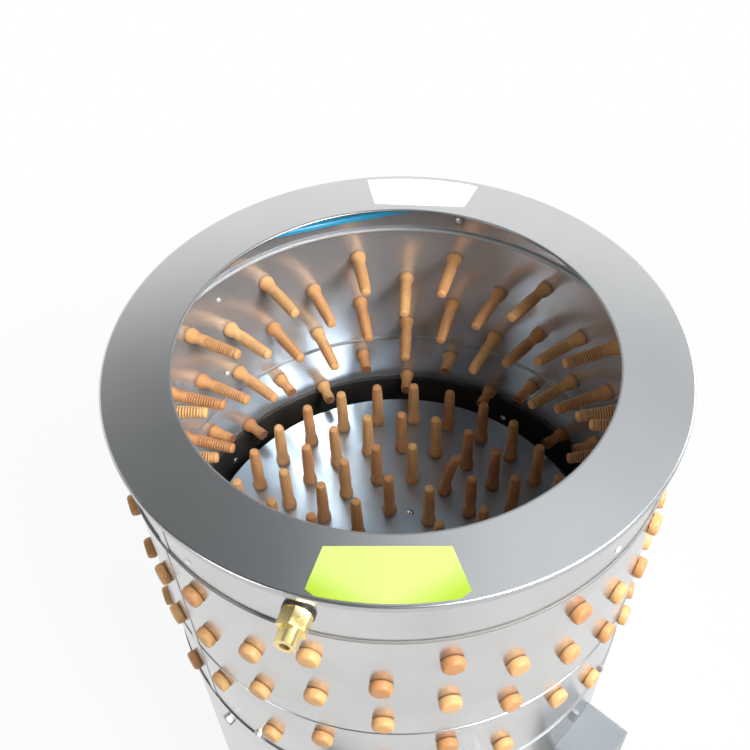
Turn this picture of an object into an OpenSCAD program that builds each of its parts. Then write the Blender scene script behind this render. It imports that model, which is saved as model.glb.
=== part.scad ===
// Drum poultry plucker. A fixed stainless drum lined with rubber fingers stands on a round base.
// A finger plate turns inside it, driven by a belt from a motor in the base. A hose under the
// rim wets the birds, and feathers leave through the gap round the plate, a pan and a chute.
// The origin is on the floor under the drum's axis. -Y is the front, +Z is up.

/* [Drum] */
// Inner radius of the drum
drum_r = 300; // [292:1:330]
// Thickness of the drum, collar, rim and base sheet
sheet_t = 1.5; // [1:0.1:2.5]
// Height of the rim above the floor
rim_z = 900; // [880:1:960]
// Radius of the hole in the rim
mouth_r = 236; // [215:1:260]
// Reach of the rim past the collar
rim_overhang = 8.5; // [5:0.5:20]
// Outer bend radius at the rim's edge
rim_bend_r = 2.5; // [2:0.5:8]
// Depth of the hem at the rim's outer edge
rim_hem_h = 7; // [4.5:0.5:15]
// Width of the hem folded under the rim at its mouth
mouth_hem_w = 9; // [6:0.5:14]
// Height of the spray collar
collar_h = 73.5; // [66:0.5:90]
// Thickness of the gasket between the collar and the drum
gasket_t = 1.5; // [1:0.5:4]
// Radius of the gasket's bead outside the joint
gasket_bead_r = 2; // [1.5:0.1:3]
// Radius of the rolled lip at the drum's top
lip_r = 2.6; // [2:0.1:3.5]
// Depth below the rim of the drum's stiffening bead
bead_drop = 283; // [272:1:290]
// Height of the lap flange that joins the drum to the base
flange_h = 36; // [32:1:40]

/* [Fingers] */
// Length of a finger inside the sheet
finger_len = 79; // [60:1:90]
// Length of a trimmed finger inside the sheet
short_len = 35; // [28:1:45]
// Radius of the head outside the sheet
head_r = 12.4; // [11:0.1:14]
// Height of the head outside the sheet
head_h = 10; // [8:0.5:16]
// Radius of the hole in the sheet
finger_hole_r = 8.5; // [7:0.1:9.5]
// Radius of the collar inside the sheet
finger_collar_r = 10.4; // [10:0.1:12]
// Radius of the waist behind the ribs
waist_r = 6.9; // [5.5:0.1:7.4]
// Radius at the first rib
ribs_r = 7.9; // [7.5:0.1:9]
// Radius at the tip
tip_r = 6.2; // [4.5:0.1:7]
// Number of ribs on a finger
rib_count = 14; // [6:1:18]
// Depth of the grooves between ribs
rib_depth = 1; // [0.3:0.1:1.2]
// Distance from the sheet to the first rib
rib_start = 26; // [22:1:34]
// Number of finger columns round the drum
columns = 28; // [20:2:32]
// Angle of the first column
column_turn = 86.5; // [80:0.5:95]
// Depth below the rim of the top row
first_row_drop = 121; // [112:1:130]
// Distance between the long rows
row_pitch = 42.3; // [38:0.1:45]
// Depth below the rim of the first trimmed row
short_row_drop = 312; // [305:1:320]
// Distance between the two trimmed rows
short_row_pitch = 50; // [40:1:52]

/* [Finger plate] */
// Depth below the rim of the plate's top
plate_drop = 386; // [380:1:395]
// Thickness of the plate
plate_t = 4; // [3:0.5:6]
// Width of the gap for feathers round the plate
feather_gap = 33; // [28:1:40]
// Fingers on each ring of the plate, from the outside in
ring_counts = [26, 21, 14, 6];
// Angle of the first finger on each ring
ring_turns = [13.9, 1.4, 1.6, 41.3];
// Distance from the plate's edge to the outer ring of fingers
ring_inset = 43; // [38:1:48]
// Distance between the three outer rings of fingers
ring_pitch = 55.5; // [50:0.5:58]
// Radius of the inner ring of fingers, round the hub
inner_ring_r = 57.5; // [54:0.5:62]
// Number of screws that hold the plate to its hub
plate_screws_n = 3; // [3:3:6]
// Height of the black liner at the foot of the drum
liner_h = 52; // [46:1:56]
// Thickness of the liner
liner_t = 5; // [3:0.5:8]
// Depth below the rim of the liner's top
liner_drop = 378; // [376:1:384]

/* [Water] */
// Radius of the irrigation hose
hose_r = 5; // [4:0.5:6]
// Depth of the hose's axis below the rim
hose_drop = 31; // [24:1:34]
// Sag of the hose between two clips
hose_sag = 5; // [0:1:8]
// Sag of the hose in the slack span at the back
slack_sag = 20.5; // [5:0.5:24]
// Gap between the hose and the collar
hose_gap = 2.5; // [2:0.5:6]
// Angle of the water inlet
inlet_turn = 253; // [240:1:260]
// Depth of the water inlet below the rim
inlet_drop = 41; // [38:1:44]
// Radius of the inlet's outer thread
inlet_thread_r = 10.45; // [9:0.05:12]
// Length of the inlet's outer thread
inlet_thread_l = 15; // [12:1:20]
// Width across the flats of the inlet's hexagon
inlet_hex = 27; // [24:0.5:30]
// Length of the inlet's hexagon
inlet_hex_l = 17; // [12:1:24]

/* [Base] */
// Height of the base's lower edge above the floor
base_z = 150; // [140:1:170]
// Width of the ring plate under the base
base_ring_w = 95; // [90:1:105]
// Thickness of the ring plate
base_ring_t = 4; // [3:0.5:6]
// Fall of the feather pan in degrees
pan_fall = 15; // [12:0.5:16]
// Height of the feather pan at the drum's axis
pan_z = 375; // [372:1:378]
// Inner width of the chute
chute_w = 260; // [200:2:300]
// Inner height of the chute
chute_h = 90; // [70:1:95]
// Reach of the chute and the wheels from the axis
reach = 350; // [345:1:365]
// Radius of a leg
leg_r = 20; // [16:0.5:24]
// Distance of the legs' middle from the base's wall
leg_inset = 42; // [38:1:44]
// Angle of the front legs either side of the front
leg_angle = 35; // [30:1:45]
// Height of a rubber foot
foot_h = 34; // [25:1:45]
// Radius of a transport wheel
wheel_r = 75; // [60:1:80]
// Width of a transport wheel
wheel_w = 36; // [28:1:44]
// Distance of the wheels from the middle
wheel_x = 190; // [180:1:200]
// Radius of the wheel axle
axle_r = 8; // [6:0.5:10]
// Distance of the wheel brackets from the middle
bracket_x = 150; // [140:1:152]
// Height of the side handles
handle_z = 360; // [340:1:370]
// Angle of the handles behind the middle of each side
handle_turn = 24; // [20:1:28]
// Distance between the ends of a handle
handle_span = 130; // [110:1:150]
// Radius of the handle's bar
handle_r = 7; // [5:0.5:9]
// Room for a hand behind the handle's bar
handle_gap = 34; // [28:1:40]

/* [Drive] */
// Radius of the main shaft
shaft_r = 12.5; // [10:0.5:15]
// Outer radius of the shaft bearings
bearing_r = 26; // [24:0.5:30]
// Height of a bearing
bearing_h = 15; // [12:1:18]
// Wall of the bearing housing
housing_t = 12; // [8:0.5:14]
// Height of the bearing bridge above the floor
bridge_z = 200; // [196:1:205]
// Height of the bearing bridge's section
bridge_h = 30; // [26:1:34]
// Width of the bearing bridge
bridge_w = 120; // [110:2:130]
// Thickness of the bridge and the motor plate
plate_steel_t = 5; // [4:0.5:6]
// Distance of the motor from the main shaft
motor_y = 185; // [182:1:190]
// Radius of the motor's frame
motor_r = 64; // [56:1:66]
// Height of the motor's frame
motor_h = 108; // [90:1:112]
// Height of the fan cover
fan_cover_h = 34; // [28:1:36]
// Number of cooling ribs on the motor
motor_ribs = 24; // [12:2:36]
// Radius of the motor shaft
motor_shaft_r = 9.5; // [7:0.5:11]
// Pitch radius of the driven pulley
driven_r = 135; // [125:1:136]
// Pitch radius of the motor pulley
driver_r = 27; // [24:1:30]
// Width of the belt
belt_w = 13; // [10:1:14]
// Thickness of the belt
belt_t = 8; // [6:0.5:9]

/* [Switch] */
// Angle of the switch box on the base
switch_turn = 318; // [312:1:322]
// Width of the switch box
switch_w = 84; // [76:1:96]
// Height of the switch box
switch_h = 130; // [116:1:140]
// Depth of the switch box
switch_d = 58; // [50:1:66]
// Height of the middle of the switch box
switch_z = 330; // [322:1:336]
// Radius of the push buttons
button_r = 13; // [10:0.5:15]
// Travel of the push buttons
button_travel = 4; // [2:0.5:5]
// Distance of each button from the middle of the box
button_offset = 27; // [22:1:30]

/* [Clearances] */
// Gap between pieces that are bolted or welded together
fit_gap = 0.2; // [0.1:0.05:0.3]
// Gap of a shaft in its bearing
run_gap = 0.05; // [0.02:0.01:0.08]
// Gap between pieces that move past each other
move_gap = 0.4; // [0.3:0.1:0.8]

/* [Hidden] */
$fn = 64;
far = 1000;

// Levels, from the rim down
drum_out = drum_r + sheet_t;
rim_r = drum_out + rim_overhang;
collar_top = rim_z - sheet_t;
collar_z = collar_top - collar_h;
drum_top = collar_z - gasket_t;
plate_top = rim_z - plate_drop;
plate_z = plate_top - plate_t;
liner_top = rim_z - liner_drop;
drum_z = liner_top - liner_h - 4;
base_top = drum_z;
flange_r = drum_out + fit_gap + sheet_t;
flange_turns = [0, 45, 135, 180, 225, 270, 315];

// Fasteners
screw_r = 3;
screw_head_r = 5.5;
screw_head_h = 2.8;
bolt_r = 4;
bolt_head_r = 7.5;
bolt_head_h = 5.5;
rivet_r = 2.4;
rivet_head_r = 4.5;
rivet_head_h = 1.8;

// Fingers
finger_gap = 0.25;
neck_r = finger_hole_r - fit_gap;
long_drops = [for (i = [0 : 3]) first_row_drop + i * row_pitch];
short_drops = [short_row_drop, short_row_drop + short_row_pitch];
column_step = 360 / columns;
plate_r = drum_r - feather_gap;
ring_rs = concat([for (i = [0 : 2]) plate_r - ring_inset - i * ring_pitch], [inner_ring_r]);

// Water
hose_ring_r = drum_r - hose_gap - hose_r;
clip_w = 12;
clip_t = 1.2;
clip_turns = [313, 373, 433, 500, 553, 589];
clip_hold = 1.6;
slack_span = 2;
rivet_drop = 56;
barb_l = 16;
elbow_r = 7.5;
hose_end = 601;
span_rings = 10;
hose_sides = 10;
plug_l = 10;
seal_t = 3;
seal_r = 16;
locknut_t = 8;
locknut_z = -sheet_t - 0.6 - locknut_t;
inlet_washer_t = 0.8;
inlet_bore_r = 5;
barb_bore_r = 2.8;
elbow_ring_r = drum_out + locknut_z - elbow_r - 3;
hose_start = inlet_turn + atan((barb_l + 0.6) / elbow_ring_r);
lead_rings = 9;
hose_turns = concat(
    [for (k = [0 : lead_rings]) hose_start + k * (clip_turns[0] - clip_hold - hose_start) / lead_rings],
    [for (i = [0 : len(clip_turns) - 2], k = [0 : span_rings])
        clip_turns[i] + clip_hold + k * (clip_turns[i + 1] - clip_turns[i] - 2 * clip_hold) / span_rings],
    [clip_turns[len(clip_turns) - 1] + clip_hold, hose_end]);

// Base
base_r = drum_r;
base_ring_r = base_r - base_ring_w;
guard_r = base_ring_r + 14;
pan_r = base_r - fit_gap;
chute_edge = 20;
chute_rivet_out = 11;
chute_rivet_drop = 28;
chute_rivet_pitch = 45;
leg_pcd_r = base_r - leg_inset;
leg_plate = 66;
leg_plate_t = 5;
leg_top = base_z - leg_plate_t;
foot_r = leg_r + 6;
foot_floor = 9;
axle_y = reach - wheel_r;
axle_z = wheel_r;
bracket_t = 6;
bracket_tab = 40;
bracket_inset = 48;
bracket_l = 56;
bracket_front = base_r - bracket_inset;
bracket_back = bracket_front - bracket_l;
axle_boss_r = 20;
cap_t = 7;
wheel_in = wheel_x - wheel_w / 2;
wheel_out = wheel_x + wheel_w / 2;

// Drive
housing_r = bearing_r + housing_t;
housing_flange_r = housing_r + 20;
housing_flange_t = 10;
housing_bolt_r = housing_r + 11;
housing_bottom = bridge_z + 4;
hub_flange_edge = 24.5;
hub_flange_r = inner_ring_r + hub_flange_edge;
hub_flange_t = 8;
hub_r = 30;
hub_h = 24;
hub_z = plate_z - hub_h;
shoulder_r = shaft_r + 3.5;
shoulder_h = 8;
shaft_stud_r = 8;
shaft_nut_h = 11;
nut_r = 13;
nut_washer_r = 15;
nut_washer_t = 2;
nut_dome_r = 11;
nut_dome_h = 7;
housing_top = hub_z - shoulder_h - move_gap;
hub_hole_r = head_r + 2;
plate_screw_inset = 1.5;
plate_screw_r = inner_ring_r - plate_screw_inset;
plate_screw_turn = ring_turns[3] + 180 / ring_counts[3];
bridge_top = bridge_z + bridge_h;
groove_gap = 0.5;
pulley_rim = 1;
pulley_h = belt_w + 12;
pulley_z = bridge_z - 10 - pulley_h;
pulley_boss_r = 30;
pulley_nut_h = 9;
pulley_nut_r = 16;
shaft_z = pulley_z - pulley_nut_h - 3;
belt_z = pulley_z + (pulley_h - belt_w) / 2;
motor_plate_top = bridge_top + plate_steel_t;
motor_plate_x = motor_r + 22;
motor_plate_back = motor_y + motor_r + 12;
plate_wall_gap = 8;
motor_flange_r = motor_r + 10;
motor_flange_t = 10;
motor_frame_z = motor_plate_top + motor_flange_t;
fan_cover_z = motor_frame_z + motor_h;
fan_cover_t = 1.5;
motor_bolt_r = motor_r + 4;
rib_out = 4;

// Switch
switch_cover_t = 6;
button_stem_r = button_r - 3;
button_cap_h = 9;
bezel_h = 5;
gland_hex = 22;
gland_r = 8;
gland_bore_r = 4.5;
switch_wall = 3;
switch_edge_r = 8;

STEEL = [0.75, 0.76, 0.78];
DARK_STEEL = [0.42, 0.43, 0.45];
RUBBER_TAN = [0.78, 0.52, 0.28];
BLACK = [0.06, 0.06, 0.07];
BLUE = [0.10, 0.52, 0.78];
BRASS = [0.80, 0.62, 0.22];
GREY = [0.35, 0.37, 0.40];

// Shared shapes

module tube(r_out, r_in, h) {
    difference() {
        cylinder(r = r_out, h = h);
        translate([0, 0, -1]) cylinder(r = r_in, h = h + 2);
    }
}

// Copies round the Z axis
module around(count, r, turn = 0) {
    for (i = [0 : count - 1])
        rotate(turn + i * 360 / count) translate([r, 0, 0]) children();
}

// Puts a shape on a round wall, with its +Z pointing away from the axis
module on_wall(turn, r, z) {
    rotate(turn) translate([r, 0, z]) rotate([0, 90, 0]) children();
}

// Low dome, such as a rivet's or a screw's head, on the plane z = 0
module dome(r, h) {
    ball_r = (r * r + h * h) / (2 * h);
    intersection() {
        translate([0, 0, h - ball_r]) sphere(r = ball_r);
        cylinder(r = r + 1, h = h + 1);
    }
}

// Hexagon bolt, with the underside of its head at z = 0 and its shank downwards
module hex_bolt(shank_r, shank_l, r, h) {
    cylinder(r = r, h = h, $fn = 6);
    translate([0, 0, -shank_l]) cylinder(r = shank_r, h = shank_l);
}

// Frame of the sloping pan: its top surface is the plane z = 0
module pan_frame() {
    translate([0, 0, pan_z]) rotate([pan_fall, 0, 0]) children();
}

// Rubber finger, with the sheet's inner face at z = 0 and the tip upwards

function body_radius(s) =
    s < rib_start ? waist_r + (ribs_r - waist_r) * pow(sin(90 * (s - 17) / (rib_start - 17)), 2)
    : ribs_r + (tip_r - ribs_r) * (s - rib_start) / (finger_len - rib_start);

function rib_pitch() = (finger_len - 5 - rib_start) / rib_count;

function rib_points() = [
    for (i = [0 : rib_count - 1])
        let (s = rib_start + i * rib_pitch())
        for (p = [[0.55, 0], [0.75, rib_depth], [1, 0]])
            [body_radius(s + p[0] * rib_pitch()) - p[1], s + p[0] * rib_pitch()]
];

function head_points(sheet) = [
    [0, -sheet - head_h],
    [head_r - 4, -sheet - head_h],
    [head_r - 2, -sheet - head_h + 1.6],
    [head_r, -sheet - head_h * 0.45],
    [head_r - 0.8, -sheet - finger_gap],
    [neck_r, -sheet - finger_gap],
    [neck_r, finger_gap],
    [finger_collar_r - 0.6, finger_gap],
    [finger_collar_r, 3],
    [finger_collar_r - 0.4, 7],
    [waist_r + 1.1, 12.5],
    [waist_r, 17]
];

module long_finger(sheet) {
    rotate_extrude()
        polygon(concat(
            head_points(sheet),
            [[body_radius(21.5), 21.5], [ribs_r, rib_start]],
            rib_points(),
            [[tip_r, finger_len - 3], [tip_r - 1, finger_len - 1], [tip_r - 3, finger_len]],
            [[0, finger_len]]));
}

// A finger trimmed off at its first ribs
module short_finger(sheet) {
    rotate_extrude()
        polygon(concat(
            head_points(sheet),
            [[body_radius(21.5), 21.5], [ribs_r, rib_start]],
            [for (p = rib_points()) if (p[1] < short_len - 0.5) p],
            [[body_radius(short_len), short_len], [0, short_len]]));
}

// Places on the drum wall for one row of fingers: every second column
module finger_row(drop, odd) {
    for (c = [odd ? 1 : 0 : 2 : columns - 1])
        rotate(column_turn - c * column_step) translate([drum_r, 0, rim_z - drop])
            rotate([0, -90, 0]) children();
}

module every_wall_finger() {
    for (i = [0 : 3]) finger_row(long_drops[i], i % 2 == 0) children();
    for (i = [0 : 1]) finger_row(short_drops[i], i % 2 == 0) children();
}

module plate_ring(i) {
    around(ring_counts[i], ring_rs[i], ring_turns[i])
        translate([0, 0, plate_top]) children();
}

// Drum and rim

module rim_cover() {
    color(STEEL) rotate_extrude() {
        translate([mouth_r + sheet_t, collar_top])
            square([rim_r - rim_bend_r - mouth_r - sheet_t, sheet_t]);
        translate([mouth_r + sheet_t, collar_top]) circle(r = sheet_t);
        translate([mouth_r + sheet_t, collar_top - sheet_t]) square([mouth_hem_w - sheet_t, 2 * sheet_t]);
        translate([rim_r - rim_bend_r, rim_z - rim_bend_r]) difference() {
            intersection() {
                circle(r = rim_bend_r);
                square(rim_bend_r + 1);
            }
            circle(r = rim_bend_r - sheet_t);
        }
        translate([rim_r - sheet_t, rim_z - rim_hem_h]) square([sheet_t, rim_hem_h - rim_bend_r]);
    }
}

module spray_collar() {
    color(STEEL) difference() {
        translate([0, 0, collar_z]) tube(drum_out, drum_r, collar_h);
        on_wall(inlet_turn, drum_r - 5, rim_z - inlet_drop)
            cylinder(r = inlet_thread_r + fit_gap, h = 20);
        for (turn = clip_turns)
            on_wall(turn, drum_r - 5, rim_z - rivet_drop) cylinder(r = rivet_r + fit_gap, h = 20);
    }
}

module collar_gasket() {
    web_in = drum_r + 0.8;
    bead_in = drum_out + fit_gap;
    color(BLACK) rotate_extrude() {
        translate([web_in, drum_top]) square([bead_in + 0.5 - web_in, gasket_t]);
        intersection() {
            translate([bead_in, drum_top + gasket_t / 2]) circle(r = gasket_bead_r);
            translate([bead_in, 0]) square(far);
        }
    }
}

module drum_wall() {
    color(STEEL) difference() {
        rotate_extrude() {
            translate([drum_r, drum_z]) square([sheet_t, drum_top - drum_z]);
            translate([drum_r + 0.6 - lip_r, drum_top - 0.6]) circle(r = lip_r);
            translate([drum_r + sheet_t / 2, rim_z - bead_drop]) circle(r = sheet_t + 0.4);
            translate([drum_r, drum_z]) square([flange_r - drum_r, flange_h / 2]);
            translate([flange_r - sheet_t, drum_z - flange_h / 2]) square([sheet_t, flange_h]);
        }
        every_wall_finger() translate([0, 0, -20]) cylinder(r = finger_hole_r, h = 40);
        flange_places() cylinder(r = bolt_r + fit_gap, h = 20, center = true);
        liner_places() translate([0, 0, -20]) cylinder(r = screw_r + fit_gap, h = 40);
    }
}

module upper_wall_fingers() {
    color(RUBBER_TAN) for (i = [0, 1]) finger_row(long_drops[i], i == 0) long_finger(sheet_t);
}

module middle_wall_fingers() {
    color(RUBBER_TAN) for (i = [2, 3]) finger_row(long_drops[i], i == 2) long_finger(sheet_t);
}

module lower_wall_fingers() {
    color(RUBBER_TAN) for (i = [0, 1]) finger_row(short_drops[i], i == 0) short_finger(sheet_t);
}

// Liner at the foot of the drum

module liner_places() {
    for (i = [0 : 3]) on_wall(55.5 + i * 90, drum_r, liner_top - 29) children();
}

module drum_liner() {
    color(BLACK) difference() {
        translate([0, 0, liner_top - liner_h]) rotate_extrude() {
            translate([drum_r - fit_gap - liner_t, 0]) square([liner_t, liner_h - liner_t / 2]);
            translate([drum_r - fit_gap - liner_t / 2, liner_h - liner_t / 2]) circle(r = liner_t / 2);
        }
        liner_places() translate([0, 0, -20]) cylinder(r = screw_r + fit_gap, h = 40);
    }
}

module liner_screws() {
    shank = liner_t + sheet_t + 5;
    color(STEEL) liner_places() {
        translate([0, 0, -liner_t - 2 * fit_gap]) rotate([180, 0, 0])
            dome(screw_head_r, screw_head_h);
        translate([0, 0, -liner_t - 2 * fit_gap]) cylinder(r = screw_r, h = shank);
        translate([0, 0, sheet_t + fit_gap]) cylinder(r = screw_head_r, h = 3, $fn = 6);
    }
}

// Water

function hose_span(turn) = [for (i = [0 : len(clip_turns) - 2]) if (clip_turns[i] <= turn) i];

// Share of the first stretch, from the inlet's elbow to the first clip
function lead_in(turn) =
    let (p = min(1, (turn - hose_start) / (clip_turns[0] - hose_start)))
    p * p * (3 - 2 * p);

// Depth of the hose's axis below the rim: level at the clips, sagging between them
function hose_fall(turn) =
    turn < clip_turns[0]
    ? inlet_drop + (hose_drop - inlet_drop) * lead_in(turn)
    : let (
        i = max(hose_span(turn)),
        span = clip_turns[i + 1] - clip_turns[i] - 2 * clip_hold,
        part = max(0, min(1, (turn - clip_turns[i] - clip_hold) / span)),
        sag = i == slack_span ? slack_sag : hose_sag)
        hose_drop + sag * pow(sin(180 * part), 1.2);

function hose_radius(turn) = elbow_ring_r + (hose_ring_r - elbow_ring_r) * lead_in(turn);

function hose_point(turn, side) =
    let (r = hose_radius(turn) + hose_r * cos(side))
    [r * cos(turn), r * sin(turn), rim_z - hose_fall(turn) + hose_r * sin(side)];

module irrigation_hose() {
    rings = len(hose_turns);
    points = [for (t = hose_turns, k = [0 : hose_sides - 1]) hose_point(t, k * 360 / hose_sides)];
    skin = [
        for (i = [0 : rings - 2], k = [0 : hose_sides - 1])
            let (a = i * hose_sides + k, b = i * hose_sides + (k + 1) % hose_sides)
            for (f = [[a, b, a + hose_sides], [b, b + hose_sides, a + hose_sides]]) f
    ];
    first = [for (k = [hose_sides - 1 : -1 : 0]) k];
    last = [for (k = [0 : hose_sides - 1]) (rings - 1) * hose_sides + k];
    color(BLUE) polyhedron(points, concat([first, last], skin));
}

module hose_plug() {
    turn = hose_turns[len(hose_turns) - 1];
    color(BRASS) rotate(turn) translate([hose_ring_r, fit_gap, rim_z - hose_fall(turn)])
        rotate([-90, 0, 0]) {
            cylinder(r = hose_r + 1, h = plug_l);
            translate([0, 0, plug_l]) dome(hose_r + 1, 2.5);
        }
}

module hose_clips() {
    band = hose_r + 0.4;
    tab_h = rivet_drop - hose_drop + 9;
    wall_gap = 0.3;
    color(STEEL) for (turn = clip_turns)
        rotate(turn) translate([hose_ring_r, clip_w / 2, rim_z - hose_drop]) rotate([90, 0, 0])
            difference() {
                linear_extrude(clip_w) {
                    circle(r = band + clip_t);
                    translate([hose_gap + hose_r - clip_t - wall_gap, -tab_h]) square([clip_t, tab_h]);
                }
                translate([0, 0, -1]) cylinder(r = band, h = clip_w + 2);
                translate([0, hose_drop - rivet_drop, clip_w / 2]) rotate([0, 90, 0])
                    cylinder(r = rivet_r + fit_gap, h = 40);
            }
}

module clip_rivets() {
    color(STEEL) for (turn = clip_turns)
        on_wall(turn, drum_r, rim_z - rivet_drop) {
            translate([0, 0, -clip_t - 0.6]) cylinder(r = rivet_r, h = clip_t + sheet_t + 1.2);
            translate([0, 0, sheet_t + 0.1]) dome(rivet_head_r, rivet_head_h);
            translate([0, 0, -clip_t - 0.5]) rotate([180, 0, 0]) dome(rivet_head_r, rivet_head_h);
        }
}

module inlet_place() {
    on_wall(inlet_turn, drum_out, rim_z - inlet_drop) children();
}

module water_inlet() {
    elbow = drum_out - elbow_ring_r;
    hex_z = seal_t + inlet_washer_t;
    color(BRASS) inlet_place() difference() {
        union() {
            translate([0, 0, seal_t]) cylinder(r = seal_r - 1, h = inlet_washer_t);
            translate([0, 0, hex_z]) cylinder(r = inlet_hex / 2 / cos(30), h = inlet_hex_l, $fn = 6);
            translate([0, 0, hex_z + inlet_hex_l]) cylinder(r = inlet_thread_r, h = inlet_thread_l);
            translate([0, 0, locknut_z - 1]) cylinder(r = inlet_thread_r, h = seal_t - locknut_z + 1);
            translate([0, 0, -elbow]) cylinder(r = elbow_r, h = elbow);
            translate([0, 0, -elbow]) sphere(r = elbow_r);
            translate([0, 0, -elbow]) rotate([-90, 0, 0]) cylinder(r = hose_r - 0.8, h = barb_l);
        }
        translate([0, 0, -elbow]) cylinder(r = inlet_bore_r, h = far);
        translate([0, 0, -elbow]) rotate([-90, 0, 0]) cylinder(r = barb_bore_r, h = barb_l + 1);
    }
}

module inlet_seal() {
    color(BLACK) inlet_place() translate([0, 0, 0.1]) tube(seal_r, inlet_thread_r + fit_gap, seal_t - 0.1);
}

module inlet_locknut() {
    color(BRASS) inlet_place() translate([0, 0, locknut_z]) difference() {
        cylinder(r = inlet_hex / 2 / cos(30), h = locknut_t, $fn = 6);
        translate([0, 0, -1]) cylinder(r = inlet_thread_r + fit_gap, h = locknut_t + 2);
    }
}

// Base

module base_shell() {
    color(STEEL) difference() {
        rotate_extrude($fn = 180) translate([base_r, base_z]) square([sheet_t, base_top - base_z]);
        chute_void(0);
        flange_places() cylinder(r = bolt_r + fit_gap, h = 20, center = true);
        bridge_bolt_places() translate([0, 0, -20]) cylinder(r = bolt_r + fit_gap, h = 40);
        handle_places() translate([0, 0, -20]) cylinder(r = bolt_r + fit_gap, h = 40);
        switch_place() cylinder(r = gland_hex / 2, h = 20, center = true);
        chute_rivet_places() cylinder(r = rivet_r + fit_gap, h = 20, center = true);
    }
}

// Bolts round the lap flange, with none at the back, where the pan meets the wall
module flange_places() {
    for (turn = flange_turns) on_wall(turn, flange_r, base_top - flange_h / 4) children();
}

module flange_fasteners() {
    stack = flange_r - base_r;
    color(DARK_STEEL) flange_places() {
        translate([0, 0, 0.1]) hex_bolt(bolt_r, stack + 9, bolt_head_r, bolt_head_h);
        translate([0, 0, -stack - 0.3 - 6]) difference() {
            cylinder(r = bolt_head_r, h = 6, $fn = 6);
            translate([0, 0, -1]) cylinder(r = bolt_r + fit_gap / 2, h = 8);
        }
    }
}

module feather_pan() {
    pan_collar_r = housing_r + 6;
    color(STEEL) difference() {
        union() {
            intersection() {
                pan_frame() translate([-far / 2, -far / 2, -sheet_t]) cube([far, far, sheet_t]);
                translate([0, 0, base_z]) cylinder(r = pan_r, h = base_top - base_z);
            }
            translate([0, 0, pan_z - 14]) cylinder(r = pan_collar_r, h = 36);
        }
        translate([0, 0, base_z]) cylinder(r = housing_r + 1, h = far);
    }
}

// Room inside the chute, or its outside with the wall added
module chute_void(wall) {
    pan_frame() translate([-chute_w / 2 - wall, -far, -wall])
        cube([chute_w + 2 * wall, far - base_r * 0.8, chute_h + 2 * wall]);
}

module chute_flange_zone() {
    intersection() {
        difference() {
            translate([0, 0, base_z]) cylinder(r = drum_out + 0.1 + sheet_t, h = base_top - base_z);
            translate([0, 0, base_z - 1]) cylinder(r = drum_out + 0.1, h = far);
        }
        chute_void(chute_edge);
    }
}

module feather_chute() {
    color(STEEL) difference() {
        union() {
            difference() {
                chute_void(sheet_t);
                translate([0, 0, base_z - 1]) cylinder(r = drum_out + 0.1, h = far);
            }
            chute_flange_zone();
        }
        chute_void(0);
        translate([-far / 2, -reach - far, 0]) cube([far, far, far]);
        chute_rivet_places() cylinder(r = rivet_r + fit_gap, h = 20, center = true);
    }
}

module chute_rivet_places() {
    side = asin((chute_w / 2 + chute_rivet_out) / drum_out);
    first = pan_z - drum_r * tan(pan_fall) + chute_h / 2 - chute_rivet_drop;
    for (turn = [270 - side, 270 + side], i = [0 : 2])
        on_wall(turn, drum_out, first + i * chute_rivet_pitch) children();
}

module chute_rivets() {
    color(STEEL) chute_rivet_places() {
        translate([0, 0, -sheet_t - 0.2]) cylinder(r = rivet_r, h = 2 * sheet_t + 0.6);
        translate([0, 0, sheet_t + 0.3]) dome(rivet_head_r, rivet_head_h);
        translate([0, 0, -sheet_t - 0.2]) rotate([180, 0, 0]) dome(rivet_head_r, rivet_head_h);
    }
}

module base_ring() {
    color(STEEL) difference() {
        translate([0, 0, base_z]) tube(base_r - fit_gap, base_ring_r, base_ring_t);
        leg_bolt_places() cylinder(r = bolt_r + fit_gap, h = 40, center = true);
        guard_screw_places() cylinder(r = screw_r + fit_gap, h = 40, center = true);
    }
}

module belt_guard() {
    slots = 12;
    slot_in = 80;
    slot_w = 10;
    slot_edge = 49;
    color(STEEL) difference() {
        translate([0, 0, base_z - sheet_t]) cylinder(r = guard_r, h = sheet_t);
        around(slots, 0, 15) translate([slot_in, -slot_w / 2, base_z - far / 2])
            cube([guard_r - slot_edge - slot_in, slot_w, far]);
        guard_screw_places() cylinder(r = screw_r + fit_gap, h = 40, center = true);
    }
}

module guard_screw_places() {
    around(6, (guard_r + base_ring_r) / 2, 0) translate([0, 0, base_z]) children();
}

module guard_screws() {
    color(DARK_STEEL) guard_screw_places() {
        translate([0, 0, -sheet_t - 0.1]) rotate([180, 0, 0]) dome(screw_head_r, screw_head_h);
        translate([0, 0, -sheet_t - 0.1]) cylinder(r = screw_r, h = sheet_t + base_ring_t + 6);
    }
}

// Legs, feet and wheels

module leg_places() {
    for (turn = [270 - leg_angle, 270 + leg_angle]) rotate(turn) translate([leg_pcd_r, 0, 0]) children();
}

module leg_bolt_places() {
    pitch = leg_plate / 2 - 9;
    leg_places() for (x = [-pitch, pitch], y = [-pitch, pitch]) translate([x, y, base_z]) children();
    for (side = [-1, 1], y = [bracket_back + 11, bracket_front - 19])
        translate([side * (bracket_x - bracket_tab / 2), y, base_z]) children();
}

module front_legs() {
    color(STEEL) difference() {
        leg_places() {
            translate([-leg_plate / 2, -leg_plate / 2, leg_top]) cube([leg_plate, leg_plate, leg_plate_t]);
            translate([0, 0, foot_floor]) tube(leg_r, leg_r - 2, leg_top - foot_floor);
        }
        leg_bolt_places() cylinder(r = bolt_r + fit_gap, h = 40, center = true);
    }
}

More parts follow.
